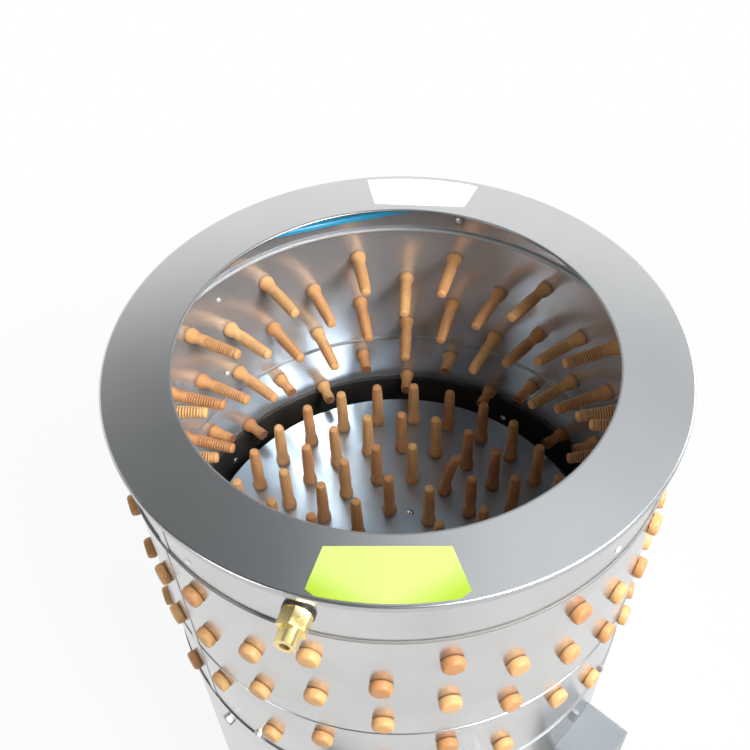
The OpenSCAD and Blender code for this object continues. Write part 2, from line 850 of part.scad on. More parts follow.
module rubber_feet() {
    color(BLACK) leg_places() difference() {
        union() {
            cylinder(r = foot_r, h = 10);
            translate([0, 0, 10]) cylinder(r1 = foot_r, r2 = leg_r + 3, h = foot_h - 10);
        }
        translate([0, 0, foot_floor]) cylinder(r = leg_r + fit_gap, h = foot_h);
    }
}

module leg_bolts() {
    stack = base_ring_t + leg_plate_t;
    color(DARK_STEEL) leg_bolt_places() {
        translate([0, 0, base_ring_t + 0.1]) hex_bolt(bolt_r, stack + 8, bolt_head_r, bolt_head_h);
        translate([0, 0, -leg_plate_t - 0.1 - 6]) difference() {
            cylinder(r = bolt_head_r, h = 6, $fn = 6);
            translate([0, 0, -1]) cylinder(r = bolt_r + fit_gap / 2, h = 8);
        }
    }
}

module wheel_brackets() {
    cheek = [
        [bracket_back, base_z], [bracket_front, base_z],
        [axle_y + axle_boss_r * cos(20), axle_z + axle_boss_r * sin(20)],
        [axle_y - axle_boss_r * cos(35), axle_z - axle_boss_r * sin(35)]
    ];
    color(DARK_STEEL) difference() {
        for (side = [-1, 1]) {
            translate([side * bracket_x - bracket_t / 2, 0, 0]) rotate([90, 0, 90])
                linear_extrude(bracket_t) {
                    polygon(cheek);
                    translate([axle_y, axle_z]) circle(r = axle_boss_r);
                }
            translate([side > 0 ? bracket_x - bracket_tab : -bracket_x, bracket_back, base_z - leg_plate_t])
                cube([bracket_tab, bracket_front - bracket_back - 8, leg_plate_t]);
        }
        translate([-far / 2, axle_y, axle_z]) rotate([0, 90, 0]) cylinder(r = axle_r + fit_gap, h = far);
        leg_bolt_places() cylinder(r = bolt_r + fit_gap, h = 40, center = true);
    }
}

module axle_frame() {
    translate([0, axle_y, axle_z]) rotate([0, 90, 0]) children();
}

module wheel_axle() {
    collar_l = wheel_in - move_gap - bracket_x - bracket_t / 2 - fit_gap;
    color(STEEL) axle_frame() {
        translate([0, 0, -wheel_out - cap_t]) cylinder(r = axle_r, h = 2 * (wheel_out + cap_t));
        for (side = [0, 1]) mirror([0, 0, side])
            translate([0, 0, bracket_x + bracket_t / 2 + fit_gap]) cylinder(r = axle_r + 5, h = collar_l);
    }
}

module axle_caps() {
    color(BLACK) axle_frame() for (side = [0, 1]) mirror([0, 0, side])
        translate([0, 0, wheel_out + move_gap]) difference() {
            union() {
                cylinder(r = axle_r + 6, h = cap_t - 2);
                translate([0, 0, cap_t - 2]) dome(axle_r + 6, 5);
            }
            translate([0, 0, -1]) cylinder(r = axle_r + run_gap, h = cap_t + 1 - move_gap);
        }
}

// Wheel with a rounded tread, dished webs and a hub, on the axle
module wheel() {
    web = wheel_w / 2 - 7;
    tread = 6;
    color(BLACK) difference() {
        rotate_extrude() difference() {
            union() {
                translate([axle_r + run_gap, -wheel_w / 2])
                    square([wheel_r - tread - axle_r - run_gap, wheel_w]);
                translate([wheel_r - tread, -wheel_w / 2 + tread]) square([tread, wheel_w - 2 * tread]);
                for (y = [-1, 1]) translate([wheel_r - tread, y * (wheel_w / 2 - tread)]) circle(r = tread);
            }
            for (y = [-1, 1]) translate([axle_r + 12, y > 0 ? wheel_w / 2 - web : -wheel_w / 2])
                square([wheel_r - 18 - axle_r - 12, web]);
        }
        around(5, (wheel_r + axle_r) / 2, 18) cylinder(r = 9, h = wheel_w, center = true);
    }
}

module left_wheel() {
    translate([-wheel_x, axle_y, axle_z]) rotate([0, 90, 0]) wheel();
}

module right_wheel() {
    translate([wheel_x, axle_y, axle_z]) rotate([0, 90, 0]) wheel();
}

// Side handles

module handle_places() {
    spread = asin((handle_span / 2) / drum_out);
    for (turn = [handle_turn, 180 - handle_turn], side = [-1, 1])
        on_wall(turn + side * spread, drum_out, handle_z) children();
}

module side_handles() {
    out = drum_out + handle_gap + handle_r;
    half = handle_span / 2;
    foot_x = sqrt(drum_out * drum_out - half * half);
    color(STEEL) difference() {
        for (turn = [handle_turn, 180 - handle_turn]) rotate(turn) {
            translate([out, -half, handle_z]) rotate([-90, 0, 0]) cylinder(r = handle_r, h = handle_span);
            for (y = [-half, half]) {
                translate([out, y, handle_z]) sphere(r = handle_r);
                translate([foot_x - 10, y, handle_z]) rotate([0, 90, 0])
                    cylinder(r = handle_r, h = out - foot_x + 10);
            }
        }
        translate([0, 0, base_z]) cylinder(r = drum_out + 0.1, h = base_top - base_z);
    }
}

module handle_bolts() {
    color(DARK_STEEL) handle_places() translate([0, 0, -sheet_t - 0.1]) rotate([180, 0, 0])
        hex_bolt(bolt_r - 0.5, sheet_t, bolt_head_r, bolt_head_h);
}

// Finger plate and its shaft

module finger_plate() {
    color(STEEL) difference() {
        translate([0, 0, plate_z]) cylinder(r = plate_r, h = plate_t);
        for (i = [0 : 3]) plate_ring(i) cylinder(r = finger_hole_r, h = 20, center = true);
        plate_screw_places() cylinder(r = screw_r + fit_gap, h = 20, center = true);
        translate([0, 0, plate_z - 1]) cylinder(r = shaft_stud_r + fit_gap, h = 20);
    }
}

module outer_plate_fingers() {
    color(RUBBER_TAN) for (i = [0, 1]) plate_ring(i) long_finger(plate_t);
}

module inner_plate_fingers() {
    color(RUBBER_TAN) for (i = [2, 3]) plate_ring(i) long_finger(plate_t);
}

module plate_screw_places() {
    around(plate_screws_n, plate_screw_r, plate_screw_turn) translate([0, 0, plate_top]) children();
}

module plate_screws() {
    color(STEEL) plate_screw_places() {
        translate([0, 0, 0.1]) dome(screw_head_r, screw_head_h);
        translate([0, 0, -plate_t - hub_flange_t]) cylinder(r = screw_r, h = plate_t + hub_flange_t + 0.2);
    }
}

module plate_hub() {
    color(DARK_STEEL) difference() {
        union() {
            translate([0, 0, plate_z - hub_flange_t]) cylinder(r = hub_flange_r, h = hub_flange_t);
            translate([0, 0, hub_z]) cylinder(r = hub_r, h = hub_h);
        }
        translate([0, 0, hub_z - 1]) cylinder(r = shaft_r + run_gap, h = hub_h + 2);
        for (i = [2, 3]) plate_ring(i) cylinder(r = hub_hole_r, h = far, center = true);
        plate_screw_places() cylinder(r = screw_r + fit_gap, h = far, center = true);
    }
}

module main_shaft() {
    color(DARK_STEEL) {
        translate([0, 0, shaft_z]) cylinder(r = shaft_stud_r, h = pulley_z - shaft_z);
        translate([0, 0, pulley_z]) cylinder(r = shaft_r, h = plate_z - fit_gap - pulley_z);
        translate([0, 0, hub_z - shoulder_h]) cylinder(r = shoulder_r, h = shoulder_h);
        translate([0, 0, plate_z - fit_gap])
            cylinder(r = shaft_stud_r, h = plate_t + fit_gap + shaft_nut_h);
    }
}

module shaft_nuts() {
    color(STEEL) {
        translate([0, 0, plate_top + 0.1]) difference() {
            union() {
                cylinder(r = nut_washer_r, h = nut_washer_t);
                translate([0, 0, nut_washer_t]) cylinder(r = nut_r, h = shaft_nut_h - nut_washer_t, $fn = 6);
                translate([0, 0, shaft_nut_h]) dome(nut_dome_r, nut_dome_h);
            }
            translate([0, 0, -1]) cylinder(r = shaft_stud_r + run_gap, h = shaft_nut_h + 1);
        }
        translate([0, 0, pulley_z - 0.1 - pulley_nut_h]) difference() {
            cylinder(r = pulley_nut_r, h = pulley_nut_h, $fn = 6);
            translate([0, 0, -1]) cylinder(r = shaft_stud_r + run_gap, h = pulley_nut_h + 2);
        }
    }
}

// Section of a pulley's rim with its belt groove, from radius r_in outwards
module pulley_rim_section(pitch_r, r_in) {
    groove_r = pitch_r - belt_t / 2 - groove_gap;
    difference() {
        translate([r_in, 0]) square([pitch_r + belt_t / 2 + pulley_rim - r_in, pulley_h]);
        translate([groove_r, pulley_h / 2 - belt_w / 2 - groove_gap])
            square([far, belt_w + 2 * groove_gap]);
    }
}

module driven_pulley() {
    web_t = 8;
    rim_in = driven_r - belt_t / 2 - 14;
    color(GREY) translate([0, 0, pulley_z]) difference() {
        rotate_extrude() {
            pulley_rim_section(driven_r, rim_in);
            translate([shaft_r + run_gap, 0]) square([pulley_boss_r - shaft_r, pulley_h]);
            translate([pulley_boss_r - 1, pulley_h / 2 - web_t / 2])
                square([rim_in - pulley_boss_r + 2, web_t]);
        }
        around(5, (rim_in + pulley_boss_r) / 2, 0)
            cylinder(r = (rim_in - pulley_boss_r) / 2 - 12, h = far, center = true);
    }
}

module motor_place() {
    translate([0, motor_y, 0]) children();
}

module motor_pulley() {
    color(GREY) motor_place() translate([0, 0, pulley_z])
        rotate_extrude() pulley_rim_section(driver_r, motor_shaft_r + run_gap);
}

// Room inside the belt's loop, for a belt line at the given distance outside the pitch line
module belt_loop(out) {
    lean = asin((driven_r - driver_r) / motor_y);
    big = driven_r + out;
    small = driver_r + out;
    circle(r = big);
    translate([0, motor_y]) circle(r = small);
    polygon([
        [big * cos(lean), big * sin(lean)], [small * cos(lean), motor_y + small * sin(lean)],
        [-small * cos(lean), motor_y + small * sin(lean)], [-big * cos(lean), big * sin(lean)]
    ]);
}

module drive_belt() {
    color(BLACK) translate([0, 0, belt_z]) linear_extrude(belt_w) difference() {
        belt_loop(belt_t / 2);
        belt_loop(-belt_t / 2);
    }
}

// Bearings and their bridge

module bearing_bridge() {
    half = bridge_w / 2;
    color(DARK_STEEL) difference() {
        intersection() {
            union() {
                translate([-far / 2, -half, bridge_top - plate_steel_t])
                    cube([far, bridge_w, plate_steel_t]);
                for (y = [-half, half - plate_steel_t])
                    translate([-far / 2, y, bridge_z]) cube([far, plate_steel_t, bridge_h]);
                intersection() {
                    translate([-far / 2, -half, bridge_z]) cube([far, bridge_w, bridge_h]);
                    translate([0, 0, bridge_z]) tube(base_r, base_r - fit_gap - plate_steel_t, bridge_h);
                }
            }
            translate([0, 0, bridge_z]) cylinder(r = base_r - fit_gap, h = bridge_h);
        }
        translate([0, 0, bridge_z - 1]) cylinder(r = housing_r + fit_gap, h = far);
        housing_bolt_places() cylinder(r = bolt_r + fit_gap, h = 40, center = true);
        bridge_bolt_places() cylinder(r = bolt_r + fit_gap, h = 60, center = true);
        plate_bolt_places() cylinder(r = bolt_r + fit_gap, h = 30, center = true);
    }
}

module bridge_bolt_places() {
    side = asin((bridge_w / 2 - 20) / drum_out);
    for (turn = [-side, side, 180 - side, 180 + side])
        on_wall(turn, drum_out, bridge_z + bridge_h / 2 - 3) children();
}

module housing_bolt_places() {
    around(4, housing_bolt_r, 45) translate([0, 0, bridge_top + housing_flange_t]) children();
}

// Bolts between the bridge and the motor plate, pointing backwards
module plate_bolt_places() {
    for (x = [-60, 0, 60])
        translate([x, bridge_w / 2, bridge_z + bridge_h / 2 - 3]) rotate([-90, 0, 0]) children();
}

module bridge_bolts() {
    color(DARK_STEEL) {
        bridge_bolt_places() translate([0, 0, 0.1])
            hex_bolt(bolt_r, sheet_t + plate_steel_t + 8, bolt_head_r, bolt_head_h);
        housing_bolt_places() translate([0, 0, 0.1])
            hex_bolt(bolt_r, housing_flange_t + plate_steel_t + 8, bolt_head_r, bolt_head_h);
        plate_bolt_places() translate([0, 0, plate_steel_t + 0.1])
            hex_bolt(bolt_r, 2 * plate_steel_t + 8, bolt_head_r, bolt_head_h);
    }
}

module bearing_housing() {
    color(GREY) difference() {
        union() {
            translate([0, 0, housing_bottom]) cylinder(r = housing_r, h = housing_top - housing_bottom);
            translate([0, 0, bridge_top]) cylinder(r = housing_flange_r, h = housing_flange_t);
        }
        translate([0, 0, housing_bottom - 1]) cylinder(r = bearing_r - 4, h = far);
        translate([0, 0, housing_bottom - 1]) cylinder(r = bearing_r + run_gap, h = bearing_h + 2);
        translate([0, 0, housing_top - bearing_h - 1]) cylinder(r = bearing_r + run_gap, h = far);
        housing_bolt_places() cylinder(r = bolt_r + fit_gap, h = 40, center = true);
    }
}

// Sealed ball bearing with a sunk shield on each side
module bearing() {
    shield = 0.6;
    rotate_extrude() difference() {
        translate([shaft_r + run_gap, 0]) square([bearing_r - shaft_r - run_gap, bearing_h]);
        for (y = [-1, bearing_h - shield])
            translate([shaft_r + 4, y]) square([bearing_r - shaft_r - 7.5, shield + 1]);
    }
}

module shaft_bearings() {
    color(STEEL) {
        translate([0, 0, housing_bottom + 1 - fit_gap]) bearing();
        translate([0, 0, housing_top - bearing_h - 0.8]) bearing();
    }
}

// Motor

module motor_bolt_places() {
    motor_place() around(4, motor_bolt_r, 45) translate([0, 0, bridge_top]) children();
}

module motor_plate() {
    front = bridge_w / 2;
    depth = motor_plate_back - front;
    gusset = [[front, bridge_z], [front, bridge_top], [front + 70, bridge_top]];
    color(DARK_STEEL) difference() {
        union() {
            intersection() {
                translate([-motor_plate_x, front, bridge_top])
                    cube([2 * motor_plate_x, depth, plate_steel_t]);
                translate([0, 0, bridge_top]) cylinder(r = base_r - plate_wall_gap, h = plate_steel_t);
            }
            translate([-motor_plate_x, front, bridge_z])
                cube([2 * motor_plate_x, plate_steel_t, bridge_h + plate_steel_t]);
            for (x = [-motor_plate_x, motor_plate_x - plate_steel_t])
                translate([x, 0, 0]) rotate([90, 0, 90]) linear_extrude(plate_steel_t) polygon(gusset);
        }
        motor_place() translate([0, 0, bridge_top - 1]) cylinder(r = motor_shaft_r + 8, h = 20);
        motor_bolt_places() cylinder(r = bolt_r + fit_gap, h = 60, center = true);
        plate_bolt_places() cylinder(r = bolt_r + fit_gap, h = 40, center = true);
    }
}

module motor_frame() {
    color(GREY) motor_place() difference() {
        union() {
            translate([0, 0, motor_plate_top]) cylinder(r = motor_flange_r, h = motor_flange_t);
            translate([0, 0, motor_frame_z]) cylinder(r = motor_r, h = motor_h);
            around(motor_ribs, motor_r - 1) translate([0, -1.5, motor_frame_z + 8])
                cube([rib_out + 1, 3, motor_h - 24]);
        }
        translate([0, 0, motor_plate_top - 1]) cylinder(r = motor_shaft_r + run_gap, h = far);
        around(4, motor_bolt_r, 45) translate([0, 0, motor_plate_top - 1])
            cylinder(r = bolt_r + fit_gap, h = motor_flange_t);
    }
}

module motor_bolts() {
    color(DARK_STEEL) motor_bolt_places() translate([0, 0, -0.1]) rotate([180, 0, 0])
        hex_bolt(bolt_r, plate_steel_t + motor_flange_t - 2, bolt_head_r, bolt_head_h);
}

module fan_cover() {
    out = motor_r + fit_gap + fan_cover_t;
    lap = 12;
    color(BLACK) motor_place() difference() {
        translate([0, 0, fan_cover_z - lap]) cylinder(r = out, h = fan_cover_h + lap);
        translate([0, 0, fan_cover_z - lap - 1])
            cylinder(r = motor_r + fit_gap, h = fan_cover_h + lap + 1 - fan_cover_t);
        around(16, 0, 0) translate([16, -2, fan_cover_z]) cube([motor_r - 26, 4, far]);
    }
}

module cooling_fan() {
    blades = 8;
    z = fan_cover_z + 3;
    color(BLACK) motor_place() difference() {
        union() {
            translate([0, 0, z]) cylinder(r = 16, h = fan_cover_h - fan_cover_t - 8);
            translate([0, 0, z]) cylinder(r = motor_r - 8, h = 2);
            around(blades, 14) translate([0, -1, z]) cube([motor_r - 24, 2, fan_cover_h - fan_cover_t - 10]);
        }
        translate([0, 0, z - 1]) cylinder(r = motor_shaft_r + run_gap, h = far);
    }
}

module motor_shaft() {
    top = fan_cover_z + fan_cover_h - fan_cover_t - 3;
    color(STEEL) motor_place() translate([0, 0, pulley_z - 4])
        cylinder(r = motor_shaft_r, h = top - pulley_z + 4);
}

module capacitor_box() {
    near = motor_r + rib_out + 0.1;
    color(BLACK) motor_place() translate([near, -24, motor_frame_z + 14]) {
        cube([34, 48, 74]);
        translate([33, 6, 6]) cube([3, 36, 62]);
    }
}

// Switch

module switch_place() {
    on_wall(switch_turn, drum_out, switch_z) children();
}

// Box with round upright edges, on the plane z = 0, centred
module round_box(h, w, d, r) {
    linear_extrude(d) {
        for (x = [-1, 1], y = [-1, 1]) translate([x * (h / 2 - r), y * (w / 2 - r)]) circle(r = r);
        square([h - 2 * r, w], center = true);
        square([h, w - 2 * r], center = true);
    }
}

module switch_box() {
    back = 8;
    inner_h = switch_h - 2 * switch_wall;
    color(GREY) difference() {
        switch_place() difference() {
            translate([0, 0, -back])
                round_box(switch_h, switch_w, switch_d - switch_cover_t + back, switch_edge_r);
            translate([0, 0, 4])
                round_box(inner_h, switch_w - 2 * switch_wall, switch_d, switch_edge_r - switch_wall);
            translate([0, 0, -2 * back]) cylinder(r = gland_hex / 2, h = 2 * back + 5);
            translate([switch_h / 2 - 2 * switch_wall, 0, switch_d / 2]) rotate([0, 90, 0])
                cylinder(r = gland_r + fit_gap, h = 20);
        }
        translate([0, 0, base_z]) cylinder(r = drum_out + 0.1, h = base_top - base_z, $fn = 360);
    }
}

module switch_cover() {
    color(GREY) switch_place() difference() {
        union() {
            translate([0, 0, switch_d - switch_cover_t + 0.1])
                round_box(switch_h, switch_w, switch_cover_t - 0.1, switch_edge_r);
            for (x = [-button_offset, button_offset])
                translate([x, 0, switch_d]) cylinder(r = button_r + move_gap + 4, h = bezel_h);
        }
        for (x = [-button_offset, button_offset]) {
            translate([x, 0, switch_d]) cylinder(r = button_r + move_gap, h = far);
            translate([x, 0, 0]) cylinder(r = button_stem_r + move_gap, h = far);
        }
    }
}

// Push button: cap, stem through the cover and the collar that keeps it there
module push_button() {
    cap_z = switch_d + button_travel + move_gap;
    keeper_z = switch_d - switch_cover_t - move_gap - 2;
    translate([0, 0, cap_z]) cylinder(r = button_r, h = button_cap_h - 2);
    translate([0, 0, cap_z + button_cap_h - 2]) cylinder(r1 = button_r, r2 = button_r - 2, h = 2);
    translate([0, 0, keeper_z - 4]) cylinder(r = button_stem_r, h = cap_z - keeper_z + 4);
    translate([0, 0, keeper_z]) cylinder(r = button_stem_r + 3, h = 2);
}

module start_button() {
    color([0.10, 0.55, 0.20]) switch_place() translate([-button_offset, 0, 0]) push_button();
}

module stop_button() {
    color([0.75, 0.08, 0.06]) switch_place() translate([button_offset, 0, 0]) push_button();
}

module cable_gland() {
    color(BLACK) switch_place() translate([switch_h / 2, 0, switch_d / 2]) rotate([0, 90, 0])
        difference() {
            union() {
                translate([0, 0, -switch_wall - 4]) cylinder(r = gland_r, h = 12);
                translate([0, 0, 0.1]) cylinder(r = gland_hex / 2 / cos(30), h = 7, $fn = 6);
                translate([0, 0, 7.1]) cylinder(r = 10.5, h = 8);
                translate([0, 0, 15.1]) dome(10.5, 5);
            }
            translate([0, 0, -far / 2]) cylinder(r = gland_bore_r, h = far);
        }
}

rim_cover();
spray_collar();
collar_gasket();
irrigation_hose();
hose_clips();
clip_rivets();
hose_plug();
water_inlet();
inlet_seal();
inlet_locknut();
drum_wall();
upper_wall_fingers();
middle_wall_fingers();
lower_wall_fingers();
drum_liner();
liner_screws();
base_shell();
flange_fasteners();
feather_pan();
feather_chute();
chute_rivets();
bearing_bridge();
bridge_bolts();
bearing_housing();
shaft_bearings();
motor_plate();
motor_frame();
fan_cover();
capacitor_box();
motor_bolts();
drive_belt();
base_ring();
belt_guard();
guard_screws();
front_legs();
rubber_feet();
wheel_brackets();
leg_bolts();
wheel_axle();
axle_caps();
side_handles();
handle_bolts();
switch_box();
switch_cover();
cable_gland();
finger_plate();
outer_plate_fingers();
inner_plate_fingers();
plate_screws();
plate_hub();
main_shaft();
shaft_nuts();
driven_pulley();
motor_shaft();
motor_pulley();
cooling_fan();
left_wheel();
right_wheel();
start_button();
stop_button();
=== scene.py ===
"""Drum poultry plucker: rim, liner, rubber fingers, water hose, blank stickers, finishes, studio, camera."""
import math
import random
from collections import namedtuple

import bmesh
import bpy
from mathutils import Matrix, Vector


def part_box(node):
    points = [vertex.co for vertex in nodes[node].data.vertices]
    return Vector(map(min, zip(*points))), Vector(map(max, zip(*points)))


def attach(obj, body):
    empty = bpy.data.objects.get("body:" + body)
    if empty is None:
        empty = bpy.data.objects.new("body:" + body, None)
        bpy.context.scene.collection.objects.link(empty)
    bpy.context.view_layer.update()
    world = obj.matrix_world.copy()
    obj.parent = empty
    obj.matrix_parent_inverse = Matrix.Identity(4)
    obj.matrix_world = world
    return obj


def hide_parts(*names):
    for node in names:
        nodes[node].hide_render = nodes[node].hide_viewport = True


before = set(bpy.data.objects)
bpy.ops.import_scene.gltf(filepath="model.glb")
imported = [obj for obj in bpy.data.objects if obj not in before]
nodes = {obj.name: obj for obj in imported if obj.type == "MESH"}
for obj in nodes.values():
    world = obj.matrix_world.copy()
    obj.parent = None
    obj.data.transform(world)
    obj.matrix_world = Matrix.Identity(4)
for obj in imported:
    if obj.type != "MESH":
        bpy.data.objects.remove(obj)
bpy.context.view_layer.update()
scene = bpy.context.scene


def node_box(name):
    """A CAD node's lowest and highest corners at rest, to a thousandth of a millimetre."""
    return [[round(v, 6) for v in corner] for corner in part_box(name)]


# Sizes in metres. model.glb gives the main ones, and the others are as in the part's source
SHEET = 0.0015
RIM_LOW, RIM_HIGH = node_box("rim_cover")
RIM_R = RIM_HIGH[0]
RIM_Z = RIM_HIGH[2]
RIM_HEM = RIM_Z - RIM_LOW[2]
RIM_BEND = 0.0025
MOUTH_R = 0.236
MOUTH_HEM = 0.009
DRUM_OUT = node_box("spray_collar")[1][0]
DRUM_R = DRUM_OUT - SHEET
DRUM_TOP = node_box("drum_wall")[1][2]
BEAD_Z = 0.617
PLATE_LOW, PLATE_HIGH = node_box("finger_plate")
PLATE_TOP = PLATE_HIGH[2]
PLATE_SHEET = PLATE_TOP - PLATE_LOW[2]
FINGER_LEN = node_box("outer_plate_fingers")[1][2] - PLATE_TOP
SHORT_LEN = 0.035
WHEEL_LOW, WHEEL_HIGH = node_box("left_wheel")
AXLE_Y = (WHEEL_LOW[1] + WHEEL_HIGH[1]) / 2
AXLE_Z = (WHEEL_LOW[2] + WHEEL_HIGH[2]) / 2

# Finger rows: drops below the rim on the wall, rings on the plate, turns in degrees
COLUMNS = 28
COLUMN_TURN = 86.5
LONG_DROPS = (0.121, 0.1633, 0.2056, 0.2479)
SHORT_DROPS = (0.312, 0.362)
RING_COUNTS = (26, 21, 14, 6)
RING_TURNS = (13.9, 1.4, 1.6, 41.3)
RING_RADII = (0.224, 0.1685, 0.113, 0.0575)


# Camera, fitted to the rim, the collar seam and the finger rows in the photo

CAMERA_PLACE = (0, -0.6894, 1.5853)
CAMERA_TURNS = (46.69, -1.84, -2.31)
CAMERA_LENS = 43.94
CAMERA_SENSOR = 36
CAMERA_NEAR = 0.02


def place_camera():
    """Camera that looks along +Y, then turned down, to the right and anticlockwise by CAMERA_TURNS."""
    pitch, yaw, roll = (math.radians(turn) for turn in CAMERA_TURNS)
    ahead = Vector((math.sin(yaw) * math.cos(pitch), math.cos(yaw) * math.cos(pitch), -math.sin(pitch)))
    level = Vector((math.cos(yaw), -math.sin(yaw), 0))
    above = level.cross(ahead)
    across = math.cos(roll) * level + math.sin(roll) * above
    upright = -math.sin(roll) * level + math.cos(roll) * above
    lens = bpy.data.cameras.new("camera")
    lens.lens = CAMERA_LENS
    lens.sensor_width = CAMERA_SENSOR
    lens.clip_start = CAMERA_NEAR
    camera = bpy.data.objects.new("camera", lens)
    scene.collection.objects.link(camera)
    turn = Matrix((across, upright, -ahead)).transposed()
    camera.matrix_world = Matrix.Translation(CAMERA_PLACE) @ turn.to_4x4()
    scene.camera = camera


place_camera()


# Node trees, written as sums

class Wire:
    """An output socket that takes part in sums. Each sum adds a Math node to its tree."""

    def __init__(self, tree, socket):
        self.tree = tree
        self.socket = socket

    def __add__(self, other):
        return self.tree.maths("ADD", self, other)

    def __radd__(self, other):
        return self.tree.maths("ADD", other, self)

    def __sub__(self, other):
        return self.tree.maths("SUBTRACT", self, other)

    def __rsub__(self, other):
        return self.tree.maths("SUBTRACT", other, self)

    def __mul__(self, other):
        return self.tree.maths("MULTIPLY", self, other)

    def __rmul__(self, other):
        return self.tree.maths("MULTIPLY", other, self)

    def __pow__(self, other):
        return self.tree.maths("POWER", self, other)


class Tree:
    """A node tree. add() makes any node, with its settings first and its sockets after them."""

    def __init__(self, tree):
        self.tree = tree

    def add(self, kind, settings=None, inputs=None, out=0):
        node = self.tree.nodes.new(kind)
        for key, value in (settings or {}).items():
            setattr(node, key, value)
        for key, value in (inputs or {}).items():
            if isinstance(value, Wire):
                self.tree.links.new(value.socket, node.inputs[key])
            else:
                node.inputs[key].default_value = value
        return Wire(self, node.outputs[out]) if node.outputs else None

    def maths(self, operation, *values):
        return self.add("ShaderNodeMath", {"operation": operation}, dict(enumerate(values)))

    def span(self, value, low, high, to_low=0.0, to_high=1.0, eased=False):
        """A value's range carried over to another range, without overshoot."""
        return self.add(
            "ShaderNodeMapRange", {"clamp": True, "interpolation_type": "SMOOTHSTEP" if eased else "LINEAR"},
            {"Value": value, "From Min": low, "From Max": high, "To Min": to_low, "To Max": to_high})

    def split(self, vector):
        """The three parts of a vector."""
        node = self.tree.nodes.new("ShaderNodeSeparateXYZ")
        self.tree.links.new(vector.socket, node.inputs[0])
        return [Wire(self, node.outputs[i]) for i in range(3)]

    def rays(self, *kinds):
        """1 for rays of any of these kinds, else 0."""
        total, *others = [self.add("ShaderNodeLightPath", out=f"Is {kind} Ray") for kind in kinds]
        for ray in others:
            total = self.maths("MAXIMUM", total, ray)
        return total

    def mix(self, share, first, second):
        """A colour between two colours."""
        full = [v if isinstance(v, Wire) else (*v, 1.0) for v in (first, second)]
        return self.add("ShaderNodeMix", {"data_type": "RGBA"}, {0: share, 6: full[0], 7: full[1]}, out=2)


class Finish(Tree):
    """A material on Object coordinates."""

    def __init__(self, name):
        self.material = bpy.data.materials.new(name)
        self.material.use_nodes = True
        self.material.node_tree.nodes.clear()
        super().__init__(self.material.node_tree)
        self.place = self.add("ShaderNodeTexCoord", out="Object")
        self.x, self.y, self.z = self.split(self.place)

    def reach(self):
        """Distance from the drum's axis."""
        return (self.x * self.x + self.y * self.y) ** 0.5

    def at(self, x, y, z):
        return self.add("ShaderNodeCombineXYZ", None, {0: x, 1: y, 2: z})

    def noise(self, scale, detail=3.0, rough=0.5, at=None):
        return self.add(
            "ShaderNodeTexNoise", None,
            {"Vector": at or self.place, "Scale": scale, "Detail": detail, "Roughness": rough}, out="Fac")

    def attribute(self, name):
        return self.add("ShaderNodeAttribute", {"attribute_name": name}, out="Fac")

    def bump(self, height, distance, strength):
        sockets = {"Height": height, "Distance": distance, "Strength": strength}
        return self.add("ShaderNodeBump", None, sockets)

    def skin(self, **sockets):
        """The material, with a Principled shader whose sockets are named in lower case."""
        names = {key.replace("_", " ").title().replace("Ior", "IOR"): value for key, value in sockets.items()}
        shader = self.add("ShaderNodeBsdfPrincipled", None, names)
        self.add("ShaderNodeOutputMaterial", None, {"Surface": shader})
        return self.material


# Finishes. A mask goes from 0 to 1 over each of these stretches, in metres

DRUM_OUTER_FACE = (-0.0005, 0.0012)
DRUM_LIP_INWARD = (-0.0006, -0.0012)
DRUM_LIP_UPWARD = (-0.0105, -0.0085)
BEAD_MIDDLE = (0.0045, 0.0025)
MOUTH_FOLD = (0.0005, 0.0035)
MOUTH_SHADE_BAND = (0.0030, 0.0014)
HEM_FOLD = (0.0, 0.0030)
HEM_SHADE_BAND = (0.0017, 0.0004)
WHEEL_HUB = (0.0575, 0.0565)
STICKER_CORNER = (0.020, 0.090)

# The front sticker's middle, and the slope at which its deep corners end
STICKER_MIDDLE = (-0.010, -0.285)
STICKER_SLOPE = 1.5


def drum_sheet(name):
    """Satin stainless rolled into a drum, more metallic outside. A cooler tint inside is a painted reflection
    of blue light, and painted shade darkens the lip and the bead.
    """
    f = Finish(name)
    out = f.reach() - DRUM_R
    outer = f.span(out, *DRUM_OUTER_FACE)
    lip = f.span(out, *DRUM_LIP_INWARD) * f.span(f.z - DRUM_TOP, *DRUM_LIP_UPWARD)
    bead = f.span(f.maths("ABSOLUTE", f.z - BEAD_Z), *BEAD_MIDDLE) * (1.0 - outer)
    grain = f.noise(1.0, 3.0, 0.6, f.at(f.maths("ARCTAN2", f.y, f.x) * 9.0, f.z * 900.0, 0.0))
    marks = f.noise(7.0, 4.0, 0.55)
    tone = f.span(grain * 0.15 + marks * 0.85, 0.3, 0.7)
    # Inside, the cooler, bluer tint is a painted reflection of blue light
    cool = f.mix(tone, (0.61, 0.63, 0.655), (0.73, 0.75, 0.775))
    plain = f.mix(tone, (0.55, 0.545, 0.54), (0.67, 0.665, 0.66))
    # Painted shade: the bead is darkened into a dark line
    tint = f.mix(bead * 0.85, f.mix(outer, cool, plain), (0.30, 0.30, 0.30))
    # Painted shade: the lip is darker, and less metallic below, which tones down its glint
    tint = f.mix(lip * 0.80, tint, (0.40, 0.40, 0.40))
    metal = f.span(outer, 0.0, 1.0, 0.70, 0.92) - 0.45 * lip
    rough = 0.23 + 0.03 * (grain - 0.5) + 0.06 * (marks - 0.5) + 0.25 * bead + 0.32 * lip
    return f.skin(base_color=tint, metallic=metal, roughness=rough, normal=f.bump(marks, 0.0004, 0.25))


